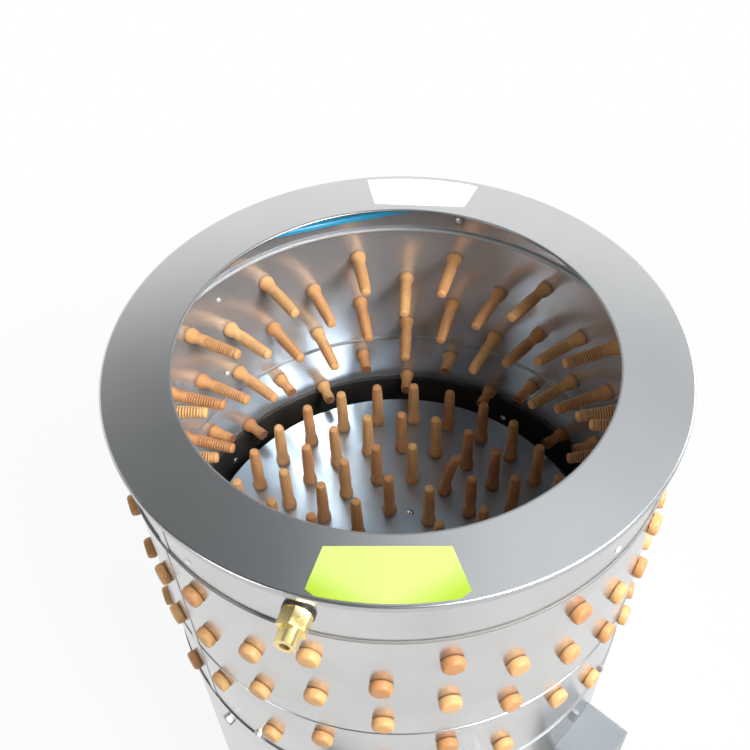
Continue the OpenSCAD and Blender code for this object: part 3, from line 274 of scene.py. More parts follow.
def stainless_sheet(name, dark, light, dull, brushed):
    """Satin stainless sheet with soft handling marks and a share of straight grain."""
    f = Finish(name)
    grain = f.noise(1.0, 3.0, 0.6, f.at(f.x * 26.0, f.y * 700.0, f.z * 40.0))
    marks = f.noise(7.0, 4.0, 0.55)
    tint = f.mix(f.span(grain * brushed + marks * (1.0 - brushed), 0.3, 0.7), dark, light)
    rough = dull + 0.15 * brushed * (grain - 0.5) + 0.06 * (marks - 0.5)
    return f.skin(base_color=tint, metallic=1.0, roughness=rough, normal=f.bump(marks, 0.0004, 0.2))


def rim_sheet(name):
    """The rim's satin sheet, duller where its edges are folded, with a line of painted shade along the folds
    that tones down their glints.
    """
    f = Finish(name)
    from_mouth = f.reach() - MOUTH_R
    from_hem = RIM_R - f.reach()
    fold = 1.0 - f.span(from_mouth, *MOUTH_FOLD) * f.span(from_hem, *HEM_FOLD)
    marks = f.noise(6.0, 4.0, 0.55)
    grain = f.noise(1.0, 2.0, 0.6, f.at(f.x * 30.0, f.y * 900.0, f.z * 40.0))
    tint = f.mix(f.span(marks, 0.3, 0.7), (0.69, 0.695, 0.70), (0.75, 0.755, 0.76))
    # Painted shade: a dark line along the mouth fold and the outer hem
    line = f.span(from_mouth, *MOUTH_SHADE_BAND, 0.0, 0.65) + f.span(from_hem, *HEM_SHADE_BAND, 0.0, 0.35)
    tint = f.mix(line, tint, (0.20, 0.20, 0.20))
    rough = 0.19 + 0.03 * (grain - 0.5) + 0.04 * (marks - 0.5) + 0.16 * fold
    return f.skin(base_color=tint, metallic=1.0, roughness=rough, normal=f.bump(grain, 0.000012, 0.3))


def bright_steel(name, dark, light, dull, metal=1.0):
    """Turned or pressed metal of small parts."""
    f = Finish(name)
    marks = f.noise(60.0, 4.0)
    tint = f.mix(marks, dark, light)
    return f.skin(base_color=tint, metallic=metal, roughness=dull + 0.12 * (marks - 0.5))


def moulded_rubber(name, dark, mid, light, dull):
    """Moulded rubber with cloudy colour and dust, and painted shade where a piece's shade attribute says so.
    """
    f = Finish(name)
    cloud = f.noise(45.0, 3.0, 0.6)
    specks = f.noise(420.0, 2.0, 0.6)
    tint = f.mix(f.span(cloud * 0.45 + f.attribute("tone") * 0.55, 0.2, 0.8), mid, light)
    tint = f.mix(f.span(specks, 0.52, 0.75) * 0.3, tint, dark)
    # Painted shade from the shade attribute: finger grooves, cut ends and finger feet
    tint = f.mix(f.attribute("shade") * 0.85, tint, dark)
    rough = dull + 0.10 * (cloud - 0.5) + 0.08 * (specks - 0.5)
    return f.skin(
        base_color=tint, roughness=rough, specular_ior_level=0.4,
        subsurface_weight=0.04, subsurface_radius=(0.004, 0.002, 0.001), subsurface_scale=0.5,
        normal=f.bump(specks, 0.00008, 0.35))


def moulded_plastic(name, dark, light, dull, grain_size=900.0, coat=0.0):
    """Moulded plastic with a fine grain."""
    f = Finish(name)
    cloud = f.noise(30.0, 3.0)
    grain = f.noise(grain_size, 2.0)
    return f.skin(
        base_color=f.mix(cloud, dark, light), roughness=dull + 0.12 * (cloud - 0.5),
        coat_weight=coat, coat_roughness=0.2, normal=f.bump(grain, 0.00006, 0.4))


def painted_metal(name, dark, light, dull):
    """Stove paint with a fine orange peel."""
    f = Finish(name)
    cloud = f.noise(18.0, 3.0)
    peel = f.noise(260.0, 2.0)
    return f.skin(
        base_color=f.mix(cloud, dark, light), roughness=dull + 0.12 * (cloud - 0.5),
        coat_weight=0.25, coat_roughness=0.25, normal=f.bump(peel, 0.00012, 0.5))


def machined_brass(name):
    """Turned brass with fine lines and cloudy tarnish."""
    f = Finish(name)
    lines = f.noise(1.0, 2.0, 0.5, f.at(f.x * 300.0, f.y * 300.0, f.z * 1400.0))
    tarnish = f.span(f.noise(90.0, 4.0), 0.45, 0.75)
    tint = f.mix(tarnish * 0.6, (0.92, 0.74, 0.34), (0.58, 0.40, 0.13))
    return f.skin(base_color=tint, metallic=0.85, roughness=0.18 + 0.10 * lines + 0.12 * tarnish)


def sticker_film(name, dark, light, dull, coat):
    """Plain film with faint ripples. The front sticker has a painted sheen, palest in its middle and fading
    to deeper colour towards its outer corners.
    """
    f = Finish(name)
    ripple = f.noise(26.0, 2.0)
    aside = f.maths("ABSOLUTE", f.x - STICKER_MIDDLE[0])
    # Painted sheen: the front sticker goes from its light colour in the middle to its dark colour at the
    # outer corners
    corner = f.span(aside - (f.y - STICKER_MIDDLE[1]) * STICKER_SLOPE, *STICKER_CORNER, eased=True)
    return f.skin(
        base_color=f.mix(corner, light, dark), roughness=dull + 0.06 * (ripple - 0.5),
        coat_weight=coat, coat_roughness=0.15, normal=f.bump(ripple, 0.0003, 0.15))


def wheel_finish(name):
    """Black tyre with a grey hub, told apart by the distance from the axle."""
    f = Finish(name)
    up = f.z - AXLE_Z
    back = f.y - AXLE_Y
    hub = f.span((up * up + back * back) ** 0.5, *WHEEL_HUB)
    cloud = f.noise(40.0, 3.0)
    tyre = f.mix(cloud, (0.018, 0.018, 0.019), (0.034, 0.034, 0.035))
    centre = f.mix(cloud, (0.16, 0.165, 0.17), (0.22, 0.225, 0.23))
    return f.skin(
        base_color=f.mix(hub, tyre, centre), roughness=0.72 - 0.22 * hub + 0.1 * (cloud - 0.5),
        normal=f.bump(f.noise(500.0, 2.0), 0.0001, 0.4))


ROUND_SHEET = drum_sheet("stainless_round")
FLAT_SHEET = stainless_sheet("stainless_flat", (0.58, 0.585, 0.59), (0.70, 0.705, 0.71), 0.26, 0.2)
RIM_SHEET = rim_sheet("stainless_rim")
# The plate's blue tint is a painted reflection of blue sky light
PLATE_STEEL = stainless_sheet("stainless_plate", (0.55, 0.67, 0.78), (0.67, 0.79, 0.89), 0.32, 0.02)
SMALL_STEEL = bright_steel("bright_steel", (0.52, 0.52, 0.53), (0.72, 0.72, 0.73), 0.26)
RIVET_ALLOY = bright_steel("rivet_alloy", (0.76, 0.76, 0.76), (0.86, 0.86, 0.86), 0.36, 0.55)
ZINC = bright_steel("zinc_steel", (0.36, 0.365, 0.37), (0.56, 0.56, 0.56), 0.40)
TAN = moulded_rubber("tan_rubber", (0.21, 0.070, 0.024), (0.54, 0.240, 0.090), (0.80, 0.455, 0.185), 0.44)
SEAL_RUBBER = moulded_rubber(
    "seal_rubber", (0.14, 0.132, 0.126), (0.22, 0.21, 0.20), (0.29, 0.28, 0.27), 0.50)
BLACK_RUBBER = moulded_rubber(
    "black_rubber", (0.014, 0.013, 0.012), (0.030, 0.027, 0.024), (0.046, 0.041, 0.036), 0.42)
HOSE_BLUE = moulded_plastic("blue_hose", (0.02, 0.40, 0.72), (0.05, 0.50, 0.82), 0.30, 300.0, 0.3)
BRASS = machined_brass("brass")
DARK_PAINT = painted_metal("dark_paint", (0.045, 0.048, 0.052), (0.075, 0.078, 0.084), 0.45)
GREY_PAINT = painted_metal("grey_paint", (0.20, 0.215, 0.235), (0.26, 0.275, 0.295), 0.42)
BLACK_PLASTIC = moulded_plastic("black_plastic", (0.014, 0.014, 0.015), (0.028, 0.028, 0.030), 0.48)
GREEN = moulded_plastic("green_button", (0.015, 0.20, 0.045), (0.03, 0.30, 0.07), 0.30, 600.0, 0.4)
RED = moulded_plastic("red_button", (0.36, 0.012, 0.012), (0.52, 0.025, 0.02), 0.30, 600.0, 0.4)
WHEEL = wheel_finish("wheel_rubber")
LIME_FILM = sticker_film("lime_film", (0.33, 0.49, 0.012), (0.53, 0.66, 0.165), 0.28, 0.5)
WHITE_FILM = sticker_film("white_film", (0.80, 0.80, 0.80), (0.88, 0.88, 0.88), 0.40, 0.2)


def dress(finish, *names):
    for name in names:
        nodes[name].data.materials.clear()
        nodes[name].data.materials.append(finish)


dress(ROUND_SHEET, "drum_wall", "spray_collar", "base_shell", "feather_pan", "feather_chute", "front_legs",
      "side_handles")
dress(RIM_SHEET, "rim_cover")
dress(FLAT_SHEET, "base_ring", "belt_guard")
dress(PLATE_STEEL, "finger_plate")
dress(RIVET_ALLOY, "clip_rivets")
dress(SMALL_STEEL, "hose_clips", "liner_screws", "chute_rivets", "plate_screws", "shaft_nuts",
      "shaft_bearings", "wheel_axle", "motor_shaft", "main_shaft")
dress(ZINC, "flange_fasteners", "bridge_bolts", "motor_bolts", "leg_bolts", "handle_bolts", "guard_screws")
dress(DARK_PAINT, "bearing_bridge", "motor_plate", "wheel_brackets", "plate_hub")
dress(TAN, "upper_wall_fingers", "middle_wall_fingers", "lower_wall_fingers", "outer_plate_fingers",
      "inner_plate_fingers")
dress(SEAL_RUBBER, "collar_gasket")
dress(BLACK_RUBBER, "drum_liner", "inlet_seal", "rubber_feet", "drive_belt")
dress(HOSE_BLUE, "irrigation_hose")
dress(BRASS, "water_inlet", "inlet_locknut", "hose_plug")
dress(GREY_PAINT, "motor_frame", "bearing_housing", "driven_pulley", "motor_pulley", "switch_box",
      "switch_cover")
dress(BLACK_PLASTIC, "fan_cover", "cooling_fan", "capacitor_box", "cable_gland", "axle_caps")
dress(GREEN, "start_button")
dress(RED, "stop_button")
dress(WHEEL, "left_wheel", "right_wheel")


# Meshes

MERGE_DISTANCE = 1e-6
SHARP_CORNER = math.radians(35)


def new_piece(name, verts, faces, finish, smooth=True):
    mesh = bpy.data.meshes.new(name)
    mesh.from_pydata([tuple(v) for v in verts], [], faces)
    mesh.validate()
    for face in mesh.polygons:
        face.use_smooth = smooth
    mesh.materials.append(finish)
    piece = bpy.data.objects.new(name, mesh)
    scene.collection.objects.link(piece)
    return piece


def swept(rings, closed_ends=True):
    """Points and faces over a list of equal rings of points."""
    sides = len(rings[0])
    verts = [p for ring in rings for p in ring]
    faces = []
    for i in range(len(rings) - 1):
        for k in range(sides):
            a, b = i * sides + k, i * sides + (k + 1) % sides
            faces.append((a, b, b + sides, a + sides))
    if closed_ends:
        faces.append(tuple(range(sides - 1, -1, -1)))
        faces.append(tuple(range((len(rings) - 1) * sides, len(rings) * sides)))
    return verts, faces


def smooth_step(t):
    t = min(1.0, max(0.0, t))
    return t * t * (3 - 2 * t)


def follow(points, at):
    """Value at a place along (place, value) pairs, eased between them."""
    for (a, va), (b, vb) in zip(points, points[1:]):
        if at <= b:
            return va + (vb - va) * smooth_step((at - a) / (b - a))
    return points[-1][1]


def mend_normals(piece):
    shape = bmesh.new()
    shape.from_mesh(piece.data)
    bmesh.ops.remove_doubles(shape, verts=shape.verts, dist=MERGE_DISTANCE)
    bmesh.ops.recalc_face_normals(shape, faces=shape.faces)
    shape.to_mesh(piece.data)
    shape.free()


def round_turns(sides):
    """Even turns once round, in radians."""
    return [2 * math.pi * k / sides for k in range(sides)]


def drum_point(r, turn, z):
    """Point at a distance from the drum's axis, at a turn in degrees and a height."""
    a = math.radians(turn)
    return Vector((r * math.cos(a), r * math.sin(a), z))


def arc_points(centre, r, first, last, count):
    """Flat points on an arc, from one turn to another in degrees."""
    turns = [math.radians(first + (last - first) * i / count) for i in range(count + 1)]
    return [(centre[0] + r * math.cos(t), centre[1] + r * math.sin(t)) for t in turns]


def lathe_piece(name, outline_at, sides, finish):
    """A closed ring about the drum's axis. outline_at gives (radius, height) points at a turn in degrees."""
    loops = []
    for turn in (math.degrees(a) for a in round_turns(sides)):
        loops.append([drum_point(r, turn, z) for r, z in outline_at(turn)])
    verts, faces = swept(loops + loops[:1], closed_ends=False)
    piece = new_piece(name, verts, faces, finish)
    mend_normals(piece)
    piece.data.set_sharp_from_angle(angle=SHARP_CORNER)
    return piece


# Rim

RIM_SIDES = 288
RIM_FLAT_INSET = 0.001


def rim_outline(turn):
    """Flat sheet with a closed fold at the mouth and a hem at the outer edge, the same at every turn."""
    under = RIM_Z - SHEET
    bend = (RIM_R - RIM_BEND, RIM_Z - RIM_BEND)
    return (
        arc_points((MOUTH_R + SHEET, under), SHEET, 90, 270, 10)
        + [(MOUTH_R + MOUTH_HEM, under - SHEET), (MOUTH_R + MOUTH_HEM, under)]
        + arc_points(bend, RIM_BEND - SHEET, 90, 0, 4)
        + [(RIM_R - SHEET, RIM_Z - RIM_HEM), (RIM_R, RIM_Z - RIM_HEM)]
        + arc_points(bend, RIM_BEND, 0, 90, 10)
        + [(bend[0] - RIM_FLAT_INSET, RIM_Z), (MOUTH_R + SHEET + RIM_FLAT_INSET, RIM_Z)])


def make_rim():
    rim = lathe_piece("rim_sheet", rim_outline, RIM_SIDES, RIM_SHEET)
    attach(rim, "machine")
    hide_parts("rim_cover")


make_rim()


# Black liner at the foot of the drum

LINER_OUT = 0.2997
LINER_IN = 0.2948
LINER_FOOT = node_box("drum_liner")[0][2]
LINER_TOP = 0.533
LINER_SIDES = 840
LINER_CUTOUT_R = 0.0112


def liner_outline(turn):
    """Upright band with a round top edge, cut out round each finger of the lowest row."""
    step = 720 / COLUMNS
    off = (turn - COLUMN_TURN + step / 2) % step - step / 2
    aside = DRUM_R * math.radians(abs(off))
    low_finger = RIM_Z - SHORT_DROPS[1]
    top = LINER_TOP
    if aside < LINER_CUTOUT_R:
        top = min(top, low_finger - math.sqrt(LINER_CUTOUT_R ** 2 - aside ** 2))
    half = (LINER_OUT - LINER_IN) / 2
    round_top = arc_points((LINER_IN + half, top - half), half, 0, 180, 8)
    return [(LINER_OUT, LINER_FOOT)] + round_top + [(LINER_IN, LINER_FOOT)]


def make_liner():
    liner = lathe_piece("foot_liner", liner_outline, LINER_SIDES, BLACK_RUBBER)
    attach(liner, "machine")
    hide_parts("drum_liner")


make_liner()


# Overlaps of the rolled sheets

LAP_FACES = (0.00005, 0.0008)
LAP_STEPS = 8


def lap_strip(name, turn, width, low, high, finish):
    """A sheet's end lapped over its beginning, as a thin upright strip on the outside."""
    across = math.degrees(width / DRUM_OUT)
    turns = [turn - across / 2 + i * across / LAP_STEPS for i in range(LAP_STEPS + 1)]
    inner, outer = (DRUM_OUT + face for face in LAP_FACES)
    loops = []
    for z in (low, high):
        there = [drum_point(inner, t, z) for t in turns]
        back = [drum_point(outer, t, z) for t in reversed(turns)]
        loops.append(there + back)
    verts, faces = swept(loops)
    strip = new_piece(name, verts, faces, finish)
    mend_normals(strip)
    strip.data.set_sharp_from_angle(angle=SHARP_CORNER)
    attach(strip, "machine")


lap_strip("drum_lap", turn=219.5, width=0.012, low=0.486, high=0.8215, finish=ROUND_SHEET)
lap_strip("collar_lap", turn=221.3, width=0.014, low=0.8268, high=0.8925, finish=ROUND_SHEET)


# Rubber fingers as (place, radius). Places start at the sheet's inner face, the head's at its outer face

HEAD = ((-0.0100, 0.0084), (-0.0098, 0.0095), (-0.0092, 0.0106), (-0.0078, 0.0115), (-0.0048, 0.0122),
        (-0.0018, 0.0121), (-0.0006, 0.0116), (-0.00025, 0.0110), (-0.0002, 0.0083))
NECK = ((0.0002, 0.0083), (0.00025, 0.0094))
WALL_BODY = ((0.0003, 0.0094), (0.002, 0.0105), (0.005, 0.0104), (0.0165, 0.0073), (0.026, 0.0080))
PLATE_BODY = ((0.0003, 0.0097), (0.0015, 0.0103), (0.007, 0.0101), (0.0145, 0.0084), (0.026, 0.0080))
BODY_PLACES = (0.0008, 0.002, 0.0035, 0.005, 0.0068, 0.009, 0.011, 0.013, 0.015, 0.017, 0.019, 0.0215, 0.024,
               0.026)
SHANK_START = 0.026
SHANK_R = 0.0080
SHANK_TAPER = 0.0014
FINGER_SIDES = 20
FINGER_SWAY = 0.012
SHORT_SWAY = 0.008
FIRST_SEED = 3

# Ribs: each step is (share of the pitch, share of the groove's depth)
RIBS = 14
RIB_START = 0.0265
RIB_PITCH = 0.00337
RIB_STEPS = ((0.0, 0.0), (0.46, 0.0), (0.56, 0.85), (0.73, 1.0), (0.90, 0.85))
RIB_DEPTH = 0.0016
RIB_STAND = 0.0005
RIB_RISE = 0.007
RIB_FALL = 0.008
RIB_END = 0.002
SHALLOW_RIBS = (0, RIBS - 2, RIBS - 1)
SHALLOW_SHARE = 0.5
FLANK_EDGE = 0.34
FLANK_BLEND = 0.26
FLANK_ROLL = math.radians(46)

# Ends: a round tip as (distance from the end, step in from the body), and a cut end whose face is darkened
# with painted shade
TIP_START = 0.004
ROUND_TIP = ((0.0034, 0.0), (0.0022, 0.0003), (0.0012, 0.0009), (0.0005, 0.0018), (0.0001, 0.0031))
TIP_CROWN = 0.0001
TIP_MIDDLE = 0.2
CUT_BEVEL = 0.0004
CUT_EDGE = 0.0012
CUT_MIDDLE = 0.4
END_ROOM = 0.0008

# One finger of the plate is bent
BENT_RING = 2
BENT_INDEX = 2
BENT_LEN = FINGER_LEN - 0.003
BENT_LEAN = 0.017

# Each kind's painted contact shade at the finger's foot: its share at the foot and the length it fades over
FingerKind = namedtuple("FingerKind", "sheet body grime_shade grime_length")
WALL_KIND = FingerKind(SHEET, WALL_BODY, 0.40, 0.005)
PLATE_KIND = FingerKind(PLATE_SHEET, PLATE_BODY, 0.55, 0.010)


def body_radius(kind, s):
    """Radius at a place along a finger, without its ribs."""
    if s < SHANK_START:
        return follow(kind.body, s)
    return SHANK_R - SHANK_TAPER * (s - SHANK_START) / (FINGER_LEN - SHANK_START)


def cut_end(kind, length):
    edge = body_radius(kind, length)
    # The cut face and its bevel carry painted shade
    return [(length - CUT_BEVEL, edge, 0.0, 0.0), (length, edge - CUT_BEVEL, 0.0, 0.6),
            (length, edge - CUT_EDGE, 0.0, 1.0), (length, edge * CUT_MIDDLE, 0.0, 1.0)]


def round_end(kind, length):
    tip = body_radius(kind, length - TIP_START)
    rings = [(length - back, tip - inward, 0.0, 0.0) for back, inward in ROUND_TIP]
    return rings + [(length + TIP_CROWN, tip * TIP_MIDDLE, 0.0, 0.0)]


def finger_outline(kind, length):
    """Rings of a finger as (place along it, radius, share of the groove's depth, painted shade)."""
    rings = [(s - kind.sheet, r, 0.0, 0.0) for s, r in HEAD] + [(s, r, 0.0, 0.0) for s, r in NECK]
    stops = [(s, 0.0) for s in BODY_PLACES]
    for i in range(RIBS):
        share = SHALLOW_SHARE if i in SHALLOW_RIBS else 1.0
        stops += [(RIB_START + (i + at) * RIB_PITCH, deep * share) for at, deep in RIB_STEPS]
    for s, deep in stops:
        if s < length - END_ROOM:
            # Painted shade: grooves by their depth, and a painted contact shadow at the foot that fades along
            # the finger
            foot_shade = kind.grime_shade * (1 - smooth_step(s / kind.grime_length))
            rings.append((s, body_radius(kind, s), deep, deep or foot_shade))
    trimmed = length < FINGER_LEN / 2
    return rings + (cut_end(kind, length) if trimmed else round_end(kind, length))


def finger_piece(name, kind, length, bend=0.0):
    """A finger that points along +Z from the sheet's inner face. Its ribs are on the two X flanks."""
    rings, shades = [], []
    for s, r, deep, shade in finger_outline(kind, length):
        lean = bend * max(0.0, s) ** 2 / FINGER_LEN ** 2
        ribbed = smooth_step((s - RIB_START) / RIB_RISE) * smooth_step((length - RIB_END - s) / RIB_FALL)
        ring = []
        for turn in round_turns(FINGER_SIDES):
            flank = smooth_step((abs(math.cos(turn)) - FLANK_EDGE) / FLANK_BLEND)
            radius = r + (RIB_STAND * ribbed - RIB_DEPTH * deep) * flank
            ring.append(Vector((radius * math.cos(turn) + lean, radius * math.sin(turn), s)))
            # Painted shade in the grooves falls only on the ribbed flanks; at the foot and on the cut end it
            # goes all round
            shades.append(shade * (flank if deep else 1.0))
        rings.append(ring)
    verts, faces = swept(rings)
    piece = new_piece(name, verts, faces, TAN)
    painted_shade = piece.data.attributes.new("shade", "FLOAT", "POINT")
    painted_shade.data.foreach_set("value", shades)
    return piece


class Grower(Tree):
    """Geometry nodes that put a copy of one piece on every point, turned by the point's own aim."""

    def __init__(self, name):
        group = bpy.data.node_groups.new(name, "GeometryNodeTree")
        sockets = group.interface
        sockets.new_socket("Points", in_out="INPUT", socket_type="NodeSocketGeometry")
        self.inputs = {}
        for label, kind in (("Piece", "NodeSocketObject"), ("Finish", "NodeSocketMaterial"),
                            ("Sway", "NodeSocketFloat"), ("Seed", "NodeSocketInt")):
            self.inputs[label] = sockets.new_socket(label, in_out="INPUT", socket_type=kind).identifier
        sockets.new_socket("Copies", in_out="OUTPUT", socket_type="NodeSocketGeometry")
        super().__init__(group)
        entry = group.nodes.new("NodeGroupInput")
        given = {s.name: Wire(self, s) for s in entry.outputs if s.name}
        shape = self.add("GeometryNodeObjectInfo", {"transform_space": "ORIGINAL"},
                         {"Object": given["Piece"]}, out="Geometry")
        aim = self.add("GeometryNodeInputNamedAttribute", {"data_type": "FLOAT_VECTOR"}, {"Name": "aim"})
        turned = self.add("FunctionNodeEulerToRotation", None, {0: aim})
        copies = self.add("GeometryNodeInstanceOnPoints", None,
                          {"Points": given["Points"], "Instance": shape, "Rotation": turned})
        low = self.add("ShaderNodeCombineXYZ", None, {i: given["Sway"] * -1.0 for i in range(3)})
        high = self.add("ShaderNodeCombineXYZ", None, {i: given["Sway"] for i in range(3)})
        wobble = self.add("FunctionNodeRandomValue", {"data_type": "FLOAT_VECTOR"},
                          {"Min": low, "Max": high, "Seed": given["Seed"]})
        swayed = self.add("GeometryNodeRotateInstances", None, {"Instances": copies, "Rotation": wobble})
        real = self.add("GeometryNodeRealizeInstances", None, {"Geometry": swayed})
        painted = self.add("GeometryNodeSetMaterial", None, {"Geometry": real, "Material": given["Finish"]})
        self.add("NodeGroupOutput", None, {0: painted})
        self.group = group

    def grow(self, name, piece, finish, places, sway=0.0, seed=1):
        """A plain mesh with a copy of the piece at each (point, turn) place."""
        mesh = bpy.data.meshes.new(name + "_points")
        mesh.from_pydata([tuple(p) for p, turn in places], [], [])
        aims = mesh.attributes.new("aim", "FLOAT_VECTOR", "POINT")
        aims.data.foreach_set("vector", [v for p, turn in places for v in turn.to_euler()])
        draw = random.Random(seed)
        tones = mesh.attributes.new("tone", "FLOAT", "POINT")
        tones.data.foreach_set("value", [draw.random() for place in places])
        host = bpy.data.objects.new(name + "_points", mesh)
        scene.collection.objects.link(host)
        maker = host.modifiers.new("copies", "NODES")
        maker.node_group = self.group
        for label, value in (("Piece", piece), ("Finish", finish), ("Sway", sway), ("Seed", seed)):
            maker[self.inputs[label]] = value
        bpy.context.view_layer.update()
        made = bpy.data.meshes.new_from_object(host.evaluated_get(bpy.context.evaluated_depsgraph_get()))
        made.name = name
        bpy.data.objects.remove(host)
        grown = bpy.data.objects.new(name, made)
        scene.collection.objects.link(grown)
        for face in made.polygons:
            face.use_smooth = True
        return grown


GROWER = Grower("copies_on_points")


def wall_place(azimuth, z):
    """Place of a wall finger: it points at the axis, and its flanks turn up at the sides of the drum."""
    a = math.radians(azimuth)
    inward = Vector((-math.cos(a), -math.sin(a), 0))
    side = 1 if math.cos(a) >= 0 else -1
    across = Vector((math.sin(a), -math.cos(a), 0)) * side
    roll = FLANK_ROLL * math.cos(a) ** 2
    flank = across * math.cos(roll) + Vector((0, 0, 1)) * math.sin(roll)
    turn = Matrix((flank, inward.cross(flank), inward)).transposed()
    return drum_point(DRUM_R, azimuth, z), turn


def wall_row(drop, odd):
    """Every second column of the drum, at one drop below the rim."""
    step = 360 / COLUMNS
    return [wall_place(COLUMN_TURN - c * step, RIM_Z - drop) for c in range(1 if odd else 0, COLUMNS, 2)]


def plate_row(i, skip=None):
    """One ring of upright fingers on the plate."""
    step = 360 / RING_COUNTS[i]
    return [(drum_point(RING_RADII[i], RING_TURNS[i] + k * step, PLATE_TOP), Matrix.Identity(3))
            for k in range(RING_COUNTS[i]) if k != skip]


def make_fingers():
    long_one = finger_piece("long_finger", WALL_KIND, FINGER_LEN)
    short_one = finger_piece("short_finger", WALL_KIND, SHORT_LEN)
    plate_one = finger_piece("plate_finger", PLATE_KIND, FINGER_LEN)
    bent_one = finger_piece("bent_finger", PLATE_KIND, BENT_LEN, BENT_LEAN)
    rows = (
        ("upper_fingers", long_one, wall_row(LONG_DROPS[0], True) + wall_row(LONG_DROPS[1], False),
         "upper_wall_fingers", "machine", FINGER_SWAY),
        ("middle_fingers", long_one, wall_row(LONG_DROPS[2], True) + wall_row(LONG_DROPS[3], False),
         "middle_wall_fingers", "machine", FINGER_SWAY),
        ("trimmed_fingers", short_one, wall_row(SHORT_DROPS[0], True) + wall_row(SHORT_DROPS[1], False),
         "lower_wall_fingers", "machine", SHORT_SWAY),
        ("plate_outer_fingers", plate_one, plate_row(0) + plate_row(1),
         "outer_plate_fingers", "finger_rotor", FINGER_SWAY),
        ("plate_inner_fingers", plate_one, plate_row(BENT_RING, BENT_INDEX) + plate_row(3),
         "inner_plate_fingers", "finger_rotor", FINGER_SWAY),
        ("plate_bent_finger", bent_one, [plate_row(BENT_RING)[BENT_INDEX]],
         "inner_plate_fingers", "finger_rotor", 0.0),
    )
    for seed, (name, piece, places, node, body, sway) in enumerate(rows, FIRST_SEED):
        grown = GROWER.grow(name, piece, TAN, places, sway, seed)
        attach(grown, body)
        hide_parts(node)
    for piece in (long_one, short_one, plate_one, bent_one):
        bpy.data.objects.remove(piece)


make_fingers()


# Water hose. Turns are in degrees and run on past 360

HOSE_R = 0.005
HOSE_SIDES = 16
HOSE_STEPS = 230
HOSE_RING_R = 0.2925
ELBOW_RING_R = 0.2809
ELBOW_REACH = 0.0166
INLET_TURN = 253
INLET_DROP = 0.041
CLIP_TURNS = (313, 373, 433, 500, 553, 589)
CLIP_HOLD = 1.6
CLIP_DROP = 0.031
HOSE_START = INLET_TURN + math.degrees(math.atan(ELBOW_REACH / ELBOW_RING_R))
HOSE_END = 601
SAG = 0.005
BACK_SAG = 0.0205
BACK_SPAN = 2
SAG_POWER = 1.2


def lead_in(turn):
    """0 at the inlet's elbow, 1 from the first clip on."""
    return smooth_step((turn - HOSE_START) / (CLIP_TURNS[0] - HOSE_START))


def hose_drop(turn):
    """Drop of the hose below the rim. It is level in each clip and sags between them."""
    if turn < CLIP_TURNS[0]:
        return INLET_DROP - (INLET_DROP - CLIP_DROP) * lead_in(turn)
    i = max(k for k in range(len(CLIP_TURNS) - 1) if CLIP_TURNS[k] <= turn)
    length = CLIP_TURNS[i + 1] - CLIP_TURNS[i] - 2 * CLIP_HOLD
    share = max(0.0, min(1.0, (turn - CLIP_TURNS[i] - CLIP_HOLD) / length))
    sag = BACK_SAG if i == BACK_SPAN else SAG
    return CLIP_DROP + sag * max(0.0, math.sin(math.pi * share)) ** SAG_POWER


def make_hose():
    line = []
    for i in range(HOSE_STEPS + 1):
        turn = HOSE_START + i * (HOSE_END - HOSE_START) / HOSE_STEPS
        r = ELBOW_RING_R + (HOSE_RING_R - ELBOW_RING_R) * lead_in(turn)
        line.append(drum_point(r, turn, RIM_Z - hose_drop(turn)))
    rings = []
    for i, p in enumerate(line):
        ahead = (line[min(i + 1, HOSE_STEPS)] - line[max(i - 1, 0)]).normalized()
        out = Vector((p.x, p.y, 0)).normalized()
        up = out.cross(ahead).normalized()
        out = ahead.cross(up)
        rings.append([p + HOSE_R * (out * math.cos(a) + up * math.sin(a)) for a in round_turns(HOSE_SIDES)])
    verts, faces = swept(rings)
    hose = new_piece("water_hose", verts, faces, HOSE_BLUE)
    mend_normals(hose)
    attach(hose, "machine")
    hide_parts("irrigation_hose")


make_hose()


# Dome rivets inside the drum: the dome as (radius, height), the places as (turn, height)

RIVET_DOME = ((0.0034, -0.0003), (0.0034, 0.0004), (0.0031, 0.0012), (0.0022, 0.0019), (0.0010, 0.0022),
              (0.0003, 0.0023))
RIVET_PLACES = ((139.3, 0.7928), (141.2, 0.6627))
RIVET_SIDES = 16


def make_rivets():
    rings = []
    for r, s in RIVET_DOME:
        rings.append([Vector((r * math.cos(a), r * math.sin(a), s)) for a in round_turns(RIVET_SIDES)])
    verts, faces = swept(rings)
    rivet = new_piece("dome_rivet", verts, faces, RIVET_ALLOY)
    places = [wall_place(turn, z) for turn, z in RIVET_PLACES]
    grown = GROWER.grow("wall_rivets", rivet, RIVET_ALLOY, places)
    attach(grown, "machine")
    bpy.data.objects.remove(rivet)


make_rivets()


# Blank stickers on the rim

FILM_FACES = (0.00005, 0.0004)
FRONT_OUTLINE = ([(-0.066, -0.249), (-0.0795, -0.291)] + arc_points((0, 0), 0.306, -103.6, -80.2, 16)
                 + [(0.0612, -0.294), (0.0475, -0.2505)])
BACK_OUTLINE = ([(-0.0219, 0.2503), (0.089, 0.240), (0.1085, 0.281)]
                + arc_points((0, 0), 0.3025, 69.4, 96.0, 12)[1:])


def make_sticker(name, outline, finish):
    """Thin film on the rim, from its outline seen from above."""
    count = len(outline)
    verts = [Vector((x, y, RIM_Z + face)) for face in FILM_FACES for x, y in outline]
    faces = [tuple(range(count - 1, -1, -1)), tuple(range(count, 2 * count))]
    faces += [(k, (k + 1) % count, count + (k + 1) % count, count + k) for k in range(count)]
    film = new_piece(name, verts, faces, finish, smooth=False)
    mend_normals(film)
    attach(film, "machine")


make_sticker("front_sticker", FRONT_OUTLINE, LIME_FILM)
make_sticker("back_sticker", BACK_OUTLINE, WHITE_FILM)


# Studio

